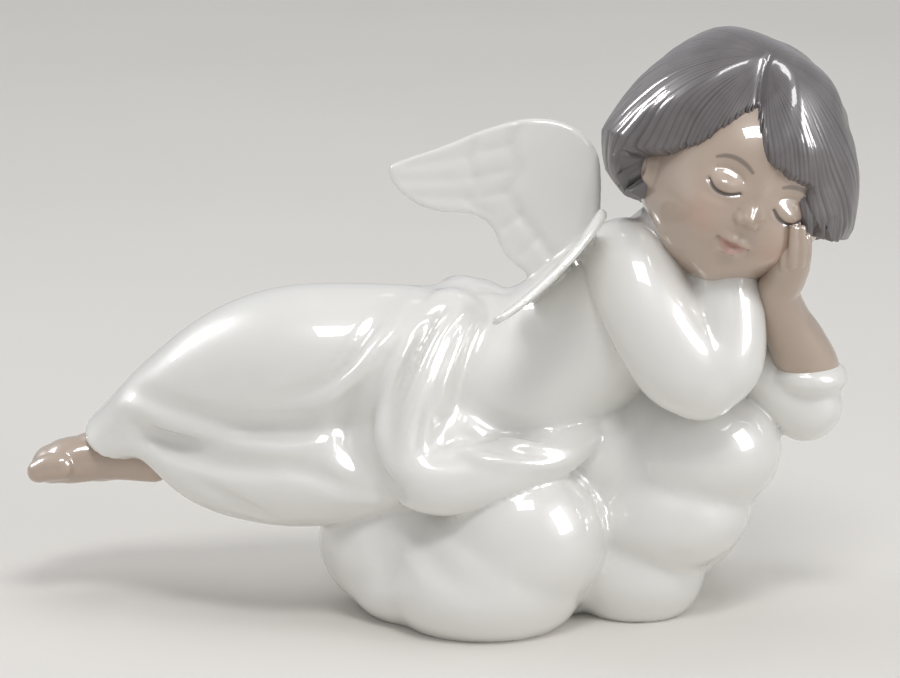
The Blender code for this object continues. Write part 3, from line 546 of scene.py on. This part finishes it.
# How far the bob stands out from its ball, by elevation, on the figure's right and on its left, and how low
# it hangs, by azimuth.
FLARE_RIGHT = [(-60, -6), (-42, -4.0), (-25, 1.2), (-10, 3.4), (10, 1.2), (30, 0)]
FLARE_LEFT = [
    (-60, -5), (-40, 0.4), (-20, 4.4), (-4, 4.5), (14, 2.2), (25, 0.9), (44, -1.5), (65, -2.2), (85, -1.2),
]
# where, by azimuth, the bob's sides start and are full, and where they end at the back
LEFT_SIDE = (20, 55)
LEFT_BACK = (110, 170)
RIGHT_SIDE = (45, 85)
RIGHT_BACK = (120, 175)
# how much of the flare on the right is gone at the back
RIGHT_BACK_LOSS = 0.5
# how much flatter the crown is than that ball, and from which elevations
CROWN_SINK = 3.0
CROWN_START = (52, 80)
HEM_HANGS = [
    (-180, -28), (-130, -36), (-84, -40), (-70, -32),
    (36, -21), (48, -18), (62, -11), (90, -9), (130, -17), (180, -28),
]

# The face and neck within the hair, as azimuth and elevation in degrees seen from the middle of the head:
# 0, 0 is straight ahead and a positive azimuth is the figure's own left.
FACE_EDGE = [
    (-23, 33), (-29, 26), (-34, 17), (-42, 3), (-54, -7), (-66, -13), (-80, -18), (-84, -27),
    (-80, -40), (-78, -95), (96, -95), (96, -14), (62, -12), (44, -17), (33, -18), (28, -15),
    (26, -4), (24, 3), (18, 3), (11, 3), (4, 5), (-4, 6), (-9, 11), (-14, 19), (-19, 27),
]
PARTING = (-31, 49)
PARTING_KNEE = (-30, 46)
PARTING_WIDTH = 2.2
PARTING_DEPTH = 0.9
# how many locks and hairs there are round the parting
STRANDS = 62
HAIRS = 54
# how strongly locks and hairs crowd and spread, and how many times in a turn
BROAD_CROWD = (0.8, 3)
NARROW_CROWD = (1.3, 7)
HAIR_CROWD = (1.7, 5)
# how far, in radians, they sway on their way down, and how often
LOCK_SWAY = (0.05, 3)
HAIR_SWAY = (0.012, 7)
# how ragged locks and hairs make the rim, and locks the hem, in degrees
LOCK_TEETH = 1.6
HAIR_TEETH = 0.7
HEM_TEETH = 2.5
# how far the gaps between them lie back from the drawn edge
TEETH_BACK = 1.9
# how wide the rounded edge of the hair is, in degrees, and how deep it dives into the head, in millimetres
HAIR_RIM = 2.6
HAIR_DIVE = 1.2
# how many times as deep again it dives further in, and over how many degrees
DIVE_DEEPENS = 3
DIVE_REACH = (3, 15)
# how thick the fringe lies on the brow, in millimetres, and over how many degrees it thickens further back
FRINGE_THICK = 1.1
FRINGE_REACH = (-2, 20)
# how high locks and hairs stand, and over how many degrees from the parting they rise to that
LOCK_HEIGHT = 0.5
LOCK_RISE = (20, 85)
HAIR_HEIGHT = 0.10
HAIR_RISE = (15, 80)
# the least that the hair stands off the skin
HAIR_LEAST = 0.8
# the rounded front of the bob over the brow: azimuth, elevation, both spreads and height
BOB_FRONT = (12, 10, 24, 14, 1.3)

# Relief of the face: azimuth, elevation, both spreads and height. Those with an azimuth come on both sides.
FACE_FORMS = [
    (0, 12, 34, 16, 0.7), (20, -8.5, 9.5, 6.5, -1), (20.5, -13.5, 7.5, 4.6, 1.35),
    (20.5, -21.5, 8, 3, -0.35), (0, -13, 3.4, 9, 0.8), (0, -24, 4, 4.6, 2.9),
    (5.2, -27.2, 2.6, 2.7, 1.2), (27, -33, 16, 14, 2.2), (3.2, -38.2, 4, 2.5, 1.2),
    (8, -39.6, 3.6, 2.1, 0.6), (0, -45, 6.2, 3, 1.6), (13, -42, 2.6, 3, -0.35),
    (0, -51.5, 8, 3.2, -0.8), (0, -65, 20, 10, 1.6),
]
# Fine creases of the face: the line, the half width in degrees and the depth.
LASH_LINE = [(10.8, -15.8), (15, -18.2), (20, -19.2), (25, -18.4), (29.8, -15.2)]
MOUTH_LINE = [(-11.2, -41.0), (-5.6, -41.0), (0, -42.0), (5.6, -41.0), (11.2, -41.0)]
FACE_CREASES = [
    (LASH_LINE, 1.2, -0.55),
    ([(12, -8.8), (17, -6.4), (22, -5.8), (28, -8)], 1.3, -0.22),
    (MOUTH_LINE, 1.1, -0.75),
    ([(0, -31), (0, -36)], 2.2, -0.12),
    ([(8.2, -23.8), (8.9, -27.4), (7.2, -30)], 1.3, -0.25),
]
BROW_LINE = [(9.5, -2.8), (14, -0.6), (20, 0.6), (26, -0.2), (31, -2.8)]
# The painted strokes: the half width in degrees and the share of it at the inner end.
LASH_STROKE = (1.35, 0.5)
BROW_STROKE = (1.5, 0.45)
# where a stroke's paint starts to fade and is gone, in half widths
STROKE_RIM = (0.55, 1.15)
# the warmer cheek: azimuth, elevation, both spreads and strength
CHEEK_BLUSH = (27, -34, 13, 11, 1.0)
# how far the lips reach above and below the mouth line, in degrees
UPPER_LIP = 3.6
LOWER_LIP = 5.2
# how full the lips stay towards the corners, and where their paint starts to fade and is gone
LIP_FULLNESS = 2.2
LIP_RIM = (0.72, 1.12)
# The ear: its place, its spreads, its height, and the depth and the narrowness of its hollow.
EAR = (-78, -23)
EAR_SPREAD = (5.5, 8.5)
EAR_HEIGHT = 2.4
EAR_HOLLOW = 1.2
HOLLOW_NARROWS = 5
# how far the back of the jaw draws in to the neck, and how far down and round it does so
JAW_SINK = 0.25
JAW_DOWN = (40, 75)
JAW_ROUND = (60, 120)


def ray_to_ellipsoid(ways, centre, radii):
    """How far each unit way from the origin runs to an ellipsoid round the origin."""
    w, c = ways / np.array(radii), np.array(centre) / np.array(radii)
    a, b, k = (w * w).sum(1), (w * c).sum(1), (c * c).sum() - 1
    return (b + np.sqrt(b * b - a * k)) / a


def angles_of(ways):
    """The azimuth and the elevation of each unit way, in degrees, and both as places."""
    azimuth = np.degrees(np.arctan2(ways[:, 0], ways[:, 2]))
    elevation = np.degrees(np.arcsin(np.clip(ways[:, 1], -1, 1)))
    return azimuth, elevation, np.stack([azimuth, elevation], axis=1)


def way_to(azimuth, elevation):
    """The unit way at an azimuth and an elevation in degrees."""
    a, e = math.radians(azimuth), math.radians(elevation)
    return np.array((math.sin(a) * math.cos(e), math.sin(e), math.cos(a) * math.cos(e)))


def distance_to_line(places, line):
    """The distance from each place, in degrees, to a line of places."""
    best = np.full(len(places), 1e9)
    for start, end in zip(line, line[1:]):
        step = end - start
        share = np.clip(((places - start) @ step) / max(step @ step, 1e-9), 0, 1)
        best = np.minimum(best, np.linalg.norm(places - start - share[:, None] * step, axis=1))
    return best


def distance_on_both_sides(places, line):
    """The distance to a line of the face or to its mirror image, whichever is nearer."""
    drawn = smooth_path(line, 5)
    return np.minimum(distance_to_line(places, drawn), distance_to_line(places * (-1, 1), drawn))


def inside_polygon(places, corners):
    """Which places lie within a closed line of corners."""
    inside = np.zeros(len(places), bool)
    for (x0, y0), (x1, y1) in zip(corners, np.roll(corners, -1, axis=0)):
        crosses = (y0 > places[:, 1]) != (y1 > places[:, 1])
        at = x0 + (places[:, 1] - y0) * (x1 - x0) / (y1 - y0 if y1 != y0 else 1e-9)
        inside ^= crosses & (places[:, 0] < at)
    return inside


def ramp(values, start, end):
    """Nothing up to start, one from end on, and smooth between them."""
    t = np.clip((values - start) / (end - start), 0, 1)
    return t * t * (3 - 2 * t)


def bump(azimuth, elevation, middle, level, wide, tall, height):
    """A round swelling at a middle azimuth and a level elevation, with its two spreads."""
    return height * np.exp(-(((azimuth - middle) / wide) ** 2) - ((elevation - level) / tall) ** 2)


def wave(turn, strength, times):
    """A slow wave round the parting."""
    return strength * np.sin(turn * times)


def comb_axes():
    """The way to the parting, and two ways across it."""
    pole = way_to(*PARTING)
    first = np.cross(pole, (0, 0, 1.0))
    first /= np.linalg.norm(first)
    return pole, first, np.cross(pole, first)


def strand_pattern(ways):
    """Where each way lies in the hair: degrees from the parting, the height of its lock and of its hair."""
    pole, first, second = comb_axes()
    far = np.degrees(np.arccos(np.clip(ways @ pole, -1, 1)))
    turn = np.arctan2(ways @ second, ways @ first) + LOCK_SWAY[0] * np.sin(np.radians(far * LOCK_SWAY[1]))
    coarse = np.abs(np.sin(turn * STRANDS / 6 + wave(turn, *BROAD_CROWD)))
    fine = np.abs(np.sin(turn * STRANDS / 2 + wave(turn, *NARROW_CROWD)))
    wander = turn + HAIR_SWAY[0] * np.sin(np.radians(far * HAIR_SWAY[1]) + 5 * turn)
    hairs = np.abs(np.sin(wander * HAIRS + wave(turn, *HAIR_CROWD)))
    return far, 0.6 * coarse + 0.4 * fine, hairs


def face_radius(ways):
    """How far the skin lies from the middle of the head along each unit way."""
    azimuth, elevation, places = angles_of(ways)
    face = ray_to_ellipsoid(ways, *SKULL)
    for az, el, wide, tall, height in FACE_FORMS:
        for side in {-az, az}:
            face += bump(azimuth, elevation, side, el, wide, tall, height)
    for line, width, depth in FACE_CREASES:
        face += depth * np.exp(-((distance_on_both_sides(places, line) / width) ** 2))
    ear = ((azimuth - EAR[0]) / EAR_SPREAD[0]) ** 2 + ((elevation - EAR[1]) / EAR_SPREAD[1]) ** 2
    face += EAR_HEIGHT * np.exp(-(ear**2)) - EAR_HOLLOW * np.exp(-ear * HOLLOW_NARROWS)
    return face * (1 - JAW_SINK * ramp(-elevation, *JAW_DOWN) * ramp(np.abs(azimuth), *JAW_ROUND))


def hair_edge(ways):
    """How far each way is within the hair, in degrees: less than nothing on the bare face and neck."""
    azimuth, elevation, places = angles_of(ways)
    corners = smooth_path([*FACE_EDGE, FACE_EDGE[0]], 4)
    gap = distance_to_line(places, corners)
    gap[inside_polygon(places, corners)] *= -1
    _, lock, hairs = strand_pattern(ways)
    teeth = LOCK_TEETH * lock + HAIR_TEETH * hairs
    hem = np.interp(azimuth, *np.transpose(HEM_HANGS)) + HEM_TEETH * (lock - 0.5)
    return np.minimum(gap + teeth - TEETH_BACK, elevation - hem + HAIR_TEETH * hairs), gap


def hair_radius(ways):
    """How far the hair lies from the middle of the head along each unit way, under the skin where it ends."""
    azimuth, elevation, places = angles_of(ways)
    edge, gap = hair_edge(ways)
    hair = ray_to_ellipsoid(ways, *HAIR)
    left = ramp(azimuth, *LEFT_SIDE) - ramp(azimuth, *LEFT_BACK)
    right = ramp(-azimuth, *RIGHT_SIDE) - RIGHT_BACK_LOSS * ramp(-azimuth, *RIGHT_BACK)
    hair += left * np.interp(elevation, *np.transpose(FLARE_LEFT))
    hair += right * np.interp(elevation, *np.transpose(FLARE_RIGHT))
    skin = face_radius(ways)
    lying = (1 - ramp(gap, *FRINGE_REACH)) * (1 - left) * (1 - right)
    hair -= (hair - skin - FRINGE_THICK) * lying
    far, lock, hairs = strand_pattern(ways)
    hair += ramp(far, *LOCK_RISE) * LOCK_HEIGHT * (lock - 0.5)
    hair += ramp(far, *HAIR_RISE) * HAIR_HEIGHT * (hairs - 0.6)
    hair += bump(azimuth, elevation, *BOB_FRONT)
    hair -= CROWN_SINK * ramp(elevation, *CROWN_START)
    part = distance_to_line(places, np.array([FACE_EDGE[0], PARTING_KNEE, PARTING], float))
    hair -= PARTING_DEPTH * np.exp(-((part / PARTING_WIDTH) ** 2))
    share = np.clip((edge + HAIR_RIM / 2) / HAIR_RIM, 0, 1)
    rounded = np.sqrt(1 - (1 - share) ** 2)
    inner = skin - HAIR_DIVE * (1 + DIVE_DEEPENS * ramp(-edge, *DIVE_REACH))
    return inner + (np.maximum(hair, skin + HAIR_LEAST) - inner) * rounded


def head_frame():
    """From the head's own axes (left, up, ahead) to the figure's."""
    turned = (
        Matrix.Rotation(math.radians(HEAD_TILT), 3, "Y")
        @ Matrix.Rotation(math.radians(HEAD_TURN), 3, "Z")
        @ Matrix.Rotation(math.radians(HEAD_NOD), 3, "X")
    )
    own = Matrix(((1, 0, 0), (0, 0, -1), (0, 1, 0)))
    return np.array(turned @ own)


def on_the_head(ways, radii):
    """The points that lie so far from the middle of the head along unit ways in the head's own axes."""
    return ((ways * radii[:, None]) @ head_frame().T + HEAD_CENTRE) * MM


# The skin of the head is a ball of square patches, finest in the middle of the face.
FACE_PATCHES = 118
FACE_MIDDLE = (0, -24)
FACE_CROWDING = 0.72


def face():
    """The skin of head and face as one closed surface."""
    across = np.tan(np.linspace(-math.pi / 4, math.pi / 4, FACE_PATCHES + 1))
    numbers = {}
    ways = []
    faces = []
    sides = [(axis, sign) for axis in range(3) for sign in (-1, 1)]
    for axis, sign in sides:
        grid = np.empty((FACE_PATCHES + 1, FACE_PATCHES + 1), int)
        for row, u in enumerate(across):
            for column, v in enumerate(across):
                place = np.roll((float(sign), u * sign, v), axis)
                key = tuple(np.round(place, 6))
                if key not in numbers:
                    numbers[key] = len(ways)
                    ways.append(place)
                grid[row, column] = numbers[key]
        corners = zip(grid[:-1, :-1].flat, grid[1:, :-1].flat, grid[1:, 1:].flat, grid[:-1, 1:].flat)
        faces += corners
    ways = np.array(ways)
    ways /= np.linalg.norm(ways, axis=1)[:, None]
    ways += FACE_CROWDING * way_to(*FACE_MIDDLE)
    ways /= np.linalg.norm(ways, axis=1)[:, None]
    made = object_from("face", on_the_head(ways, face_radius(ways)), faces)
    outwards(made)
    paint_face(made, ways)
    return made


def stroke(places, line, width, inner):
    """A brush stroke along a line of the face on both sides, thin at its inner end and soft at its rim."""
    drawn = smooth_path(line, 5)
    best = np.zeros(len(places))
    for mirrored in (places, places * (-1, 1)):
        for number, (start, end) in enumerate(zip(drawn, drawn[1:])):
            along = number / (len(drawn) - 2)
            thick = width * (inner + (1 - inner) * math.sin(math.pi * (0.12 + 0.82 * along)) ** 0.7)
            gap = distance_to_line(mirrored, [start, end])
            best = np.maximum(best, 1 - ramp(gap, thick * STROKE_RIM[0], thick * STROKE_RIM[1]))
    return best


def paint_face(made, ways):
    """Stores where lips, lashes, brows and a warmer cheek are painted on the skin."""
    azimuth, elevation, places = angles_of(ways)
    mouth = np.array(MOUTH_LINE)
    across = np.clip(np.abs(azimuth) / (mouth[-1, 0] + 0.6), 0, 1)
    line = np.interp(azimuth, mouth[:, 0], mouth[:, 1])
    upper = UPPER_LIP + 0.5 * np.cos(azimuth * 0.9)
    reach = np.where(elevation > line, upper, LOWER_LIP) * (1 - across**LIP_FULLNESS)
    lips = (1 - ramp(np.abs(elevation - line) / np.maximum(reach, 0.05), *LIP_RIM)) * (across < 1)
    lips *= np.abs(azimuth) < 40
    keep_share(made, "lips", lips)
    keep_share(made, "lashes", stroke(places, LASH_LINE, *LASH_STROKE))
    keep_share(made, "brows", stroke(places, BROW_LINE, *BROW_STROKE))
    keep_share(made, "cheeks", bump(np.abs(azimuth), elevation, *CHEEK_BLUSH))


def keep_share(made, name, values):
    """Stores one number at each point of a mesh for its material to read."""
    layer = made.data.attributes.new(name, "FLOAT", "POINT")
    layer.data.foreach_set("value", np.asarray(values, dtype=np.float32))


def outwards(made):
    """Turns every face of a closed mesh outwards."""
    shape = bmesh.new()
    shape.from_mesh(made.data)
    bmesh.ops.recalc_face_normals(shape, faces=shape.faces)
    shape.to_mesh(made.data)
    shape.free()


# The hair is rings round the parting: the points in each, and the rings before, at and after its rim.
HAIR_TURNS = 880
HAIR_RINGS = (78, 20, 10)
# how far the rings at the rim reach to each side, and the most that the rim steps from point to point
RIM_REACH = 2.4
STEEPEST_RIM = 1.2
# where the rim is looked for, in degrees from the parting
RIM_SEARCH = (6.0, 170.0, 1.0)


def hair_ways(far, turn):
    """Unit ways at so many degrees from the parting, turned round it by so many radians."""
    pole, first, second = comb_axes()
    a = np.radians(far)[..., None]
    t = turn[..., None]
    return np.cos(a) * pole + np.sin(a) * (np.cos(t) * first + np.sin(t) * second)


def hair():
    """The bob as one closed surface with combed locks, its face side hidden under the skin."""
    turns = np.linspace(-math.pi, math.pi, HAIR_TURNS, endpoint=False)
    steps = np.arange(*RIM_SEARCH)
    seen = hair_ways(*np.meshgrid(steps, turns, indexing="ij")).reshape(-1, 3)
    bare = (hair_edge(seen)[0] < 0).reshape(len(steps), HAIR_TURNS)
    edge = np.where(bare.any(0), steps[bare.argmax(0)], steps[-1])
    for _ in range(2):
        for order in (range(HAIR_TURNS), range(HAIR_TURNS - 1, -1, -1)):
            for at in order:
                beside = edge[at - 1] if order[0] == 0 else edge[(at + 1) % HAIR_TURNS]
                edge[at] = min(edge[at], beside + STEEPEST_RIM)
    before, rim, after = HAIR_RINGS
    rings = [np.outer(np.linspace(0, 1, before, endpoint=False)[1:], edge - RIM_REACH)]
    rings.append(edge + np.linspace(-RIM_REACH, RIM_REACH, rim, endpoint=False)[:, None])
    rest = np.linspace(0, 1, after, endpoint=False)[:, None]
    rings.append((edge + RIM_REACH) * (1 - rest) + 180 * rest)
    far = np.vstack(rings)
    pole = way_to(*PARTING)
    grid = hair_ways(far, np.broadcast_to(turns, far.shape)).reshape(-1, 3)
    ways = np.vstack([pole[None], grid, -pole[None]])
    faces = []
    last = len(ways) - 1
    end = 1 + (len(far) - 1) * HAIR_TURNS
    for at in range(HAIR_TURNS):
        after_it = (at + 1) % HAIR_TURNS
        faces.append((0, 1 + at, 1 + after_it))
        faces.append((last, end + after_it, end + at))
        for ring in range(len(far) - 1):
            low, high = 1 + ring * HAIR_TURNS, 1 + (ring + 1) * HAIR_TURNS
            faces.append((low + at, high + at, high + after_it, low + after_it))
    made = object_from("hair", on_the_head(ways, hair_radius(ways)), faces)
    outwards(made)
    _, lock, hairs = strand_pattern(ways)
    # where the grooves between locks and hairs take painted shade
    keep_share(made, "grooves", 1 - np.clip(0.35 * lock + 0.65 * hairs, 0, 1))
    return made


def neck():
    """The short neck between collar and head."""
    return limb([(36, -3, 80, 10, 10), (42, -5, 88, 9, 9), (47, -7, 96, 10, 10)])


# Pieces

# Edges that turn by more than this are shaded sharp.
SHARP_EDGE = math.radians(55)


def thin_out(made, most):
    """Thins a mesh to about so many triangles, the fewest where it is flattest."""
    count = sum(len(side.vertices) - 2 for side in made.data.polygons)
    if count > most:
        thin = made.modifiers.new("thin", "DECIMATE")
        thin.use_collapse_triangulate = True
        thin.ratio = most / count
        made.data = evaluated_mesh(made)
        made.modifiers.clear()


def white_porcelain():
    """Gown, sleeves, wings and cloud, all one cast."""
    forms = [robe(), near_arm(), far_sleeve(), cloud(), wing(*FAR_WING), wing(*NEAR_WING)]
    made = fuse("gown_wings_and_cloud", forms, BODY_VOXEL, BODY_BLEND)
    thin_out(made, WHITE_TRIANGLES)
    cut(made, (0, 0, 0), (0, 0, -1))
    return made


def finish_piece(made, name, material):
    """Names a piece, gives it its glaze, and lets it ride on the one body."""
    made.name = name
    made.data.name = name
    made.data.materials.append(material)
    made.data.shade_smooth()
    made.data.set_sharp_from_angle(angle=SHARP_EDGE)
    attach(made, "root")
    return made


# Glazes

WHITE = (0.82, 0.81, 0.78)
# the deeper white of the patches, and of the hollows with pooled glaze and painted shade
WHITE_DEEP = (0.66, 0.645, 0.61)
SKIN = (0.48, 0.375, 0.30)
# the deeper skin of the patches, and of the hollows with pooled glaze and painted shade
SKIN_DEEP = (0.40, 0.305, 0.235)
SKIN_WARM = (0.56, 0.36, 0.28)
LIPS = (0.53, 0.29, 0.235)
PAINTED_HAIR = (0.075, 0.058, 0.052)
# What is painted on the face, in order: the stored share, how strongly it covers, and its colour.
PAINTED = [
    ("cheeks", 0.5, SKIN_WARM),
    ("lips", 0.75, LIPS),
    ("brows", 0.6, PAINTED_HAIR),
    ("lashes", 0.9, PAINTED_HAIR),
]
HAIR_COLOUR = (0.128, 0.115, 0.119)
HAIR_LIGHT = (0.172, 0.155, 0.160)
# the painted shade in the hair's grooves
HAIR_GROOVE_SHADE = (0.040, 0.035, 0.036)

COAT_ROUGHNESS = 0.035
COAT_IOR = 1.62
BODY_ROUGHNESS = 0.38
HAIR_COAT = 0.6
# Soft patches of another colour: the noise's scale and detail, its range that counts, and their strength
WHITE_PATCHES = (38.0, 3.0, 0.35, 0.7, 0.22)
SKIN_PATCHES = (90.0, 3.0, 0.3, 0.7, 0.30)
HAIR_STREAKS = (160.0, 4.0, 0.35, 0.7, 1.0)
FLOOR_PATCHES = (6.0, 2.0, 0.3, 0.7, 1.0)
# how much deeper the colour is in hollows, where the glaze pools and shade is painted, and, as painted shade,
# in the hair's grooves from one depth to another
WHITE_POOLING_AND_SHADE = 0.75
SKIN_POOLING_AND_SHADE = 0.8
HAIR_GROOVES = (0.35, 0.95, 0.0, 0.85)
# the pointiness of a flat surface and of a full hollow, for the pooled glaze and painted shade
FLAT = 0.50
HOLLOW = 0.40
# the faint ripple of the glaze: the noise's scale and its height in metres
RIPPLE_SCALE = 140.0
RIPPLE_HEIGHT = 0.00002


class Nodes:
    """The nodes of one material, added and linked in short lines."""

    def __init__(self, name):
        self.material = bpy.data.materials.new(name)
        self.material.use_nodes = True
        self.tree = self.material.node_tree
        self.shader = self.tree.nodes["Principled BSDF"]

    def add(self, kind, inputs=None, **settings):
        """A node with its inputs set to values or linked to other nodes' outputs."""
        node = self.tree.nodes.new(kind)
        for key, value in settings.items():
            setattr(node, key, value)
        for key, value in (inputs or {}).items():
            if isinstance(value, bpy.types.NodeSocket):
                self.tree.links.new(value, node.inputs[key])
            else:
                node.inputs[key].default_value = value
        return node

    def share(self, name):
        """A number that the mesh stores at its points."""
        return self.add("ShaderNodeAttribute", attribute_name=name).outputs["Fac"]

    def mix(self, factor, first, second):
        """A colour between two, each a socket or three numbers, by a factor that is a socket."""
        node = self.add("ShaderNodeMix", data_type="RGBA")
        for index, value in ((0, factor), (6, first), (7, second)):
            if isinstance(value, bpy.types.NodeSocket):
                self.tree.links.new(value, node.inputs[index])
            else:
                node.inputs[index].default_value = (*value, 1.0)
        return node.outputs[2]

    def noise(self, scale, detail):
        """A soft cloudy pattern between nothing and one."""
        place = self.add("ShaderNodeTexCoord").outputs["Object"]
        inputs = {"Vector": place, "Scale": scale, "Detail": detail, "Roughness": 0.5}
        return self.add("ShaderNodeTexNoise", inputs).outputs["Fac"]

    def range(self, value, low, high, to_low, to_high):
        """A number that goes from to_low to to_high as the value goes from low to high."""
        inputs = {"Value": value, "From Min": low, "From Max": high, "To Min": to_low, "To Max": to_high}
        return self.add("ShaderNodeMapRange", inputs).outputs["Result"]

    def patches(self, scale, detail, low, high, strength):
        """Nothing where a noise is low, and as much as the strength where it is high."""
        return self.range(self.noise(scale, detail), low, high, 0.0, strength)

    def hollows(self, strength):
        """More than nothing where the surface is hollow: where the glaze pools and where shade is painted."""
        pointed = self.add("ShaderNodeNewGeometry").outputs["Pointiness"]
        return self.range(pointed, FLAT, HOLLOW, 0.0, strength)

    def glazed(self, colour, coat=1.0):
        """The fired glaze over that colour: a clear glossy coat with a faint ripple."""
        inputs = self.shader.inputs
        self.tree.links.new(colour, inputs["Base Color"])
        inputs["Roughness"].default_value = BODY_ROUGHNESS
        inputs["Coat Weight"].default_value = coat
        inputs["Coat Roughness"].default_value = COAT_ROUGHNESS
        inputs["Coat IOR"].default_value = COAT_IOR
        ripple = self.noise(RIPPLE_SCALE, 1.0)
        waves = {"Height": ripple, "Distance": RIPPLE_HEIGHT, "Strength": 1.0}
        rippled = self.add("ShaderNodeBump", waves).outputs["Normal"]
        self.tree.links.new(rippled, inputs["Coat Normal"])
        return self.material


def white_glaze():
    """White porcelain, a little deeper in patches, and in its hollows with pooled glaze and painted shade."""
    nodes = Nodes("white_glaze")
    base = nodes.mix(nodes.patches(*WHITE_PATCHES), WHITE, WHITE_DEEP)
    # deeper in the hollows: pooled glaze and painted shade
    return nodes.glazed(nodes.mix(nodes.hollows(WHITE_POOLING_AND_SHADE), base, WHITE_DEEP))


def skin_glaze(painted):
    """Brown skin, deeper in patches, and in hollows with pooled glaze and painted shade, with or without the
    paint of the face.
    """
    nodes = Nodes("painted_skin_glaze" if painted else "skin_glaze")
    base = nodes.mix(nodes.patches(*SKIN_PATCHES), SKIN, SKIN_DEEP)
    # deeper in the hollows: pooled glaze and painted shade
    base = nodes.mix(nodes.hollows(SKIN_POOLING_AND_SHADE), base, SKIN_DEEP)
    if painted:
        for name, strength, colour in PAINTED:
            base = nodes.mix(nodes.range(nodes.share(name), 0.0, 1.0, 0.0, strength), base, colour)
    return nodes.glazed(base)


def hair_glaze():
    """Dark grey hair with paler streaks and painted shade in its grooves, less glossy than the rest."""
    nodes = Nodes("hair_glaze")
    base = nodes.mix(nodes.patches(*HAIR_STREAKS), HAIR_COLOUR, HAIR_LIGHT)
    # painted shade in the grooves between locks and hairs
    base = nodes.mix(nodes.range(nodes.share("grooves"), *HAIR_GROOVES), base, HAIR_GROOVE_SHADE)
    return nodes.glazed(base, coat=HAIR_COAT)


# Studio

# The photographer's view
VIEW_TARGET = Vector((-0.0172, 0.0, 0.0612))
VIEW_ELEVATION = math.radians(15.0)
VIEW_DISTANCE = 0.900
LENS_MM = 157.3
SENSOR_MM = 36.0
NEAREST_SEEN = 0.01
FLOOR_SIZE = 30.0
FLOOR = (0.755, 0.73, 0.69)
FLOOR_DEEP = tuple(0.97 * value for value in FLOOR)
FLOOR_ROUGHNESS = 0.75
WORLD = (0.92, 0.93, 0.95)
WORLD_STRENGTH = 0.55

# The softboxes: the way to each in the view's axes (right, up, back), its distance and its size in metres,
# and the power of the lamp that lights the forms and of the one that shows in the gloss.
SOFTBOXES = {
    "right": ((0.81, 0.33, 0.48), 0.80, (0.30, 0.44), 0.9, 8.0),
    "left": ((-0.76, 0.64, -0.10), 0.80, (0.22, 0.30), 0.4, 6.0),
    "front": ((0.08, 0.71, 0.65), 0.90, (0.34, 0.22), 3.2, 3.6),
    "above": ((0.0, 1.0, 0.1), 1.10, (1.1, 0.9), 3.6, 0.0),
}
# how many times as far off the first of the two lamps is as the second
SOFT_BEHIND = 1.15


def view_axes():
    """Right, up and back of the photographer's view."""
    up = Vector((0, math.sin(VIEW_ELEVATION), math.cos(VIEW_ELEVATION)))
    back = Vector((0, -math.cos(VIEW_ELEVATION), math.sin(VIEW_ELEVATION)))
    return Vector((1, 0, 0)), up, back


def camera():
    """The camera at the photographer's place."""
    right, up, back = view_axes()
    lens = bpy.data.cameras.new("camera")
    lens.lens = LENS_MM
    lens.sensor_width = SENSOR_MM
    lens.clip_start = NEAREST_SEEN
    made = placed(lens)
    place = Matrix((right, up, back)).transposed().to_4x4()
    place.translation = VIEW_TARGET + back * VIEW_DISTANCE
    made.matrix_world = place
    bpy.context.scene.camera = made


def softbox(name, direction, distance, size, soft, gloss):
    """Two lamps in one direction: a soft one lights the forms, and the other shows in the gloss."""
    axes = view_axes()
    way = sum((axis * share for axis, share in zip(axes, direction)), Vector()).normalized()
    for kind, power in (("soft", soft), ("gloss", gloss)):
        if not power:
            continue
        away = distance * (1.0 if kind == "gloss" else SOFT_BEHIND)
        lamp = bpy.data.lights.new(name + "_" + kind, "AREA")
        lamp.shape = "RECTANGLE"
        lamp.size, lamp.size_y = size
        lamp.energy = power
        made = placed(lamp)
        made.location = VIEW_TARGET + way * away
        made.rotation_euler = way.to_track_quat("Z", "Y").to_euler()
        made.visible_camera = False
        made.visible_glossy = kind == "gloss"
        made.visible_diffuse = kind == "soft"


def studio():
    """The pale floor, the soft surroundings and the softboxes."""
    scene = bpy.context.scene
    scene.view_settings.view_transform = "Standard"
    world = bpy.data.worlds.new("studio")
    scene.world = world
    world.use_nodes = True
    background = world.node_tree.nodes["Background"]
    background.inputs["Color"].default_value = (*WORLD, 1.0)
    background.inputs["Strength"].default_value = WORLD_STRENGTH
    for name, values in SOFTBOXES.items():
        softbox(name, *values)
    half = FLOOR_SIZE / 2
    corners = [(-half, -half, 0), (half, -half, 0), (half, half, 0), (-half, half, 0)]
    floor = object_from("floor", corners, [(0, 1, 2, 3)])
    nodes = Nodes("floor")
    colour = nodes.mix(nodes.patches(*FLOOR_PATCHES), FLOOR, FLOOR_DEEP)
    nodes.tree.links.new(colour, nodes.shader.inputs["Base Color"])
    nodes.shader.inputs["Roughness"].default_value = FLOOR_ROUGHNESS
    floor.data.materials.append(nodes.material)


def main():
    """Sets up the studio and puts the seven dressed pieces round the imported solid."""
    camera()
    studio()
    white = white_glaze()
    skin = skin_glaze(painted=False)
    body = finish_piece(white_porcelain(), "gown_wings_and_cloud", white)
    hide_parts("sleeping_angel")
    finish_piece(face(), "face", skin_glaze(painted=True))
    finish_piece(hair(), "hair", hair_glaze())
    finish_piece(neck(), "neck", skin)
    finish_piece(hand(), "forearm_and_hand", skin)
    finish_piece(foot(NEAR_FOOT_SHIFT), "near_foot", skin)
    finish_piece(foot(FAR_FOOT_SHIFT), "far_foot", skin)


main()
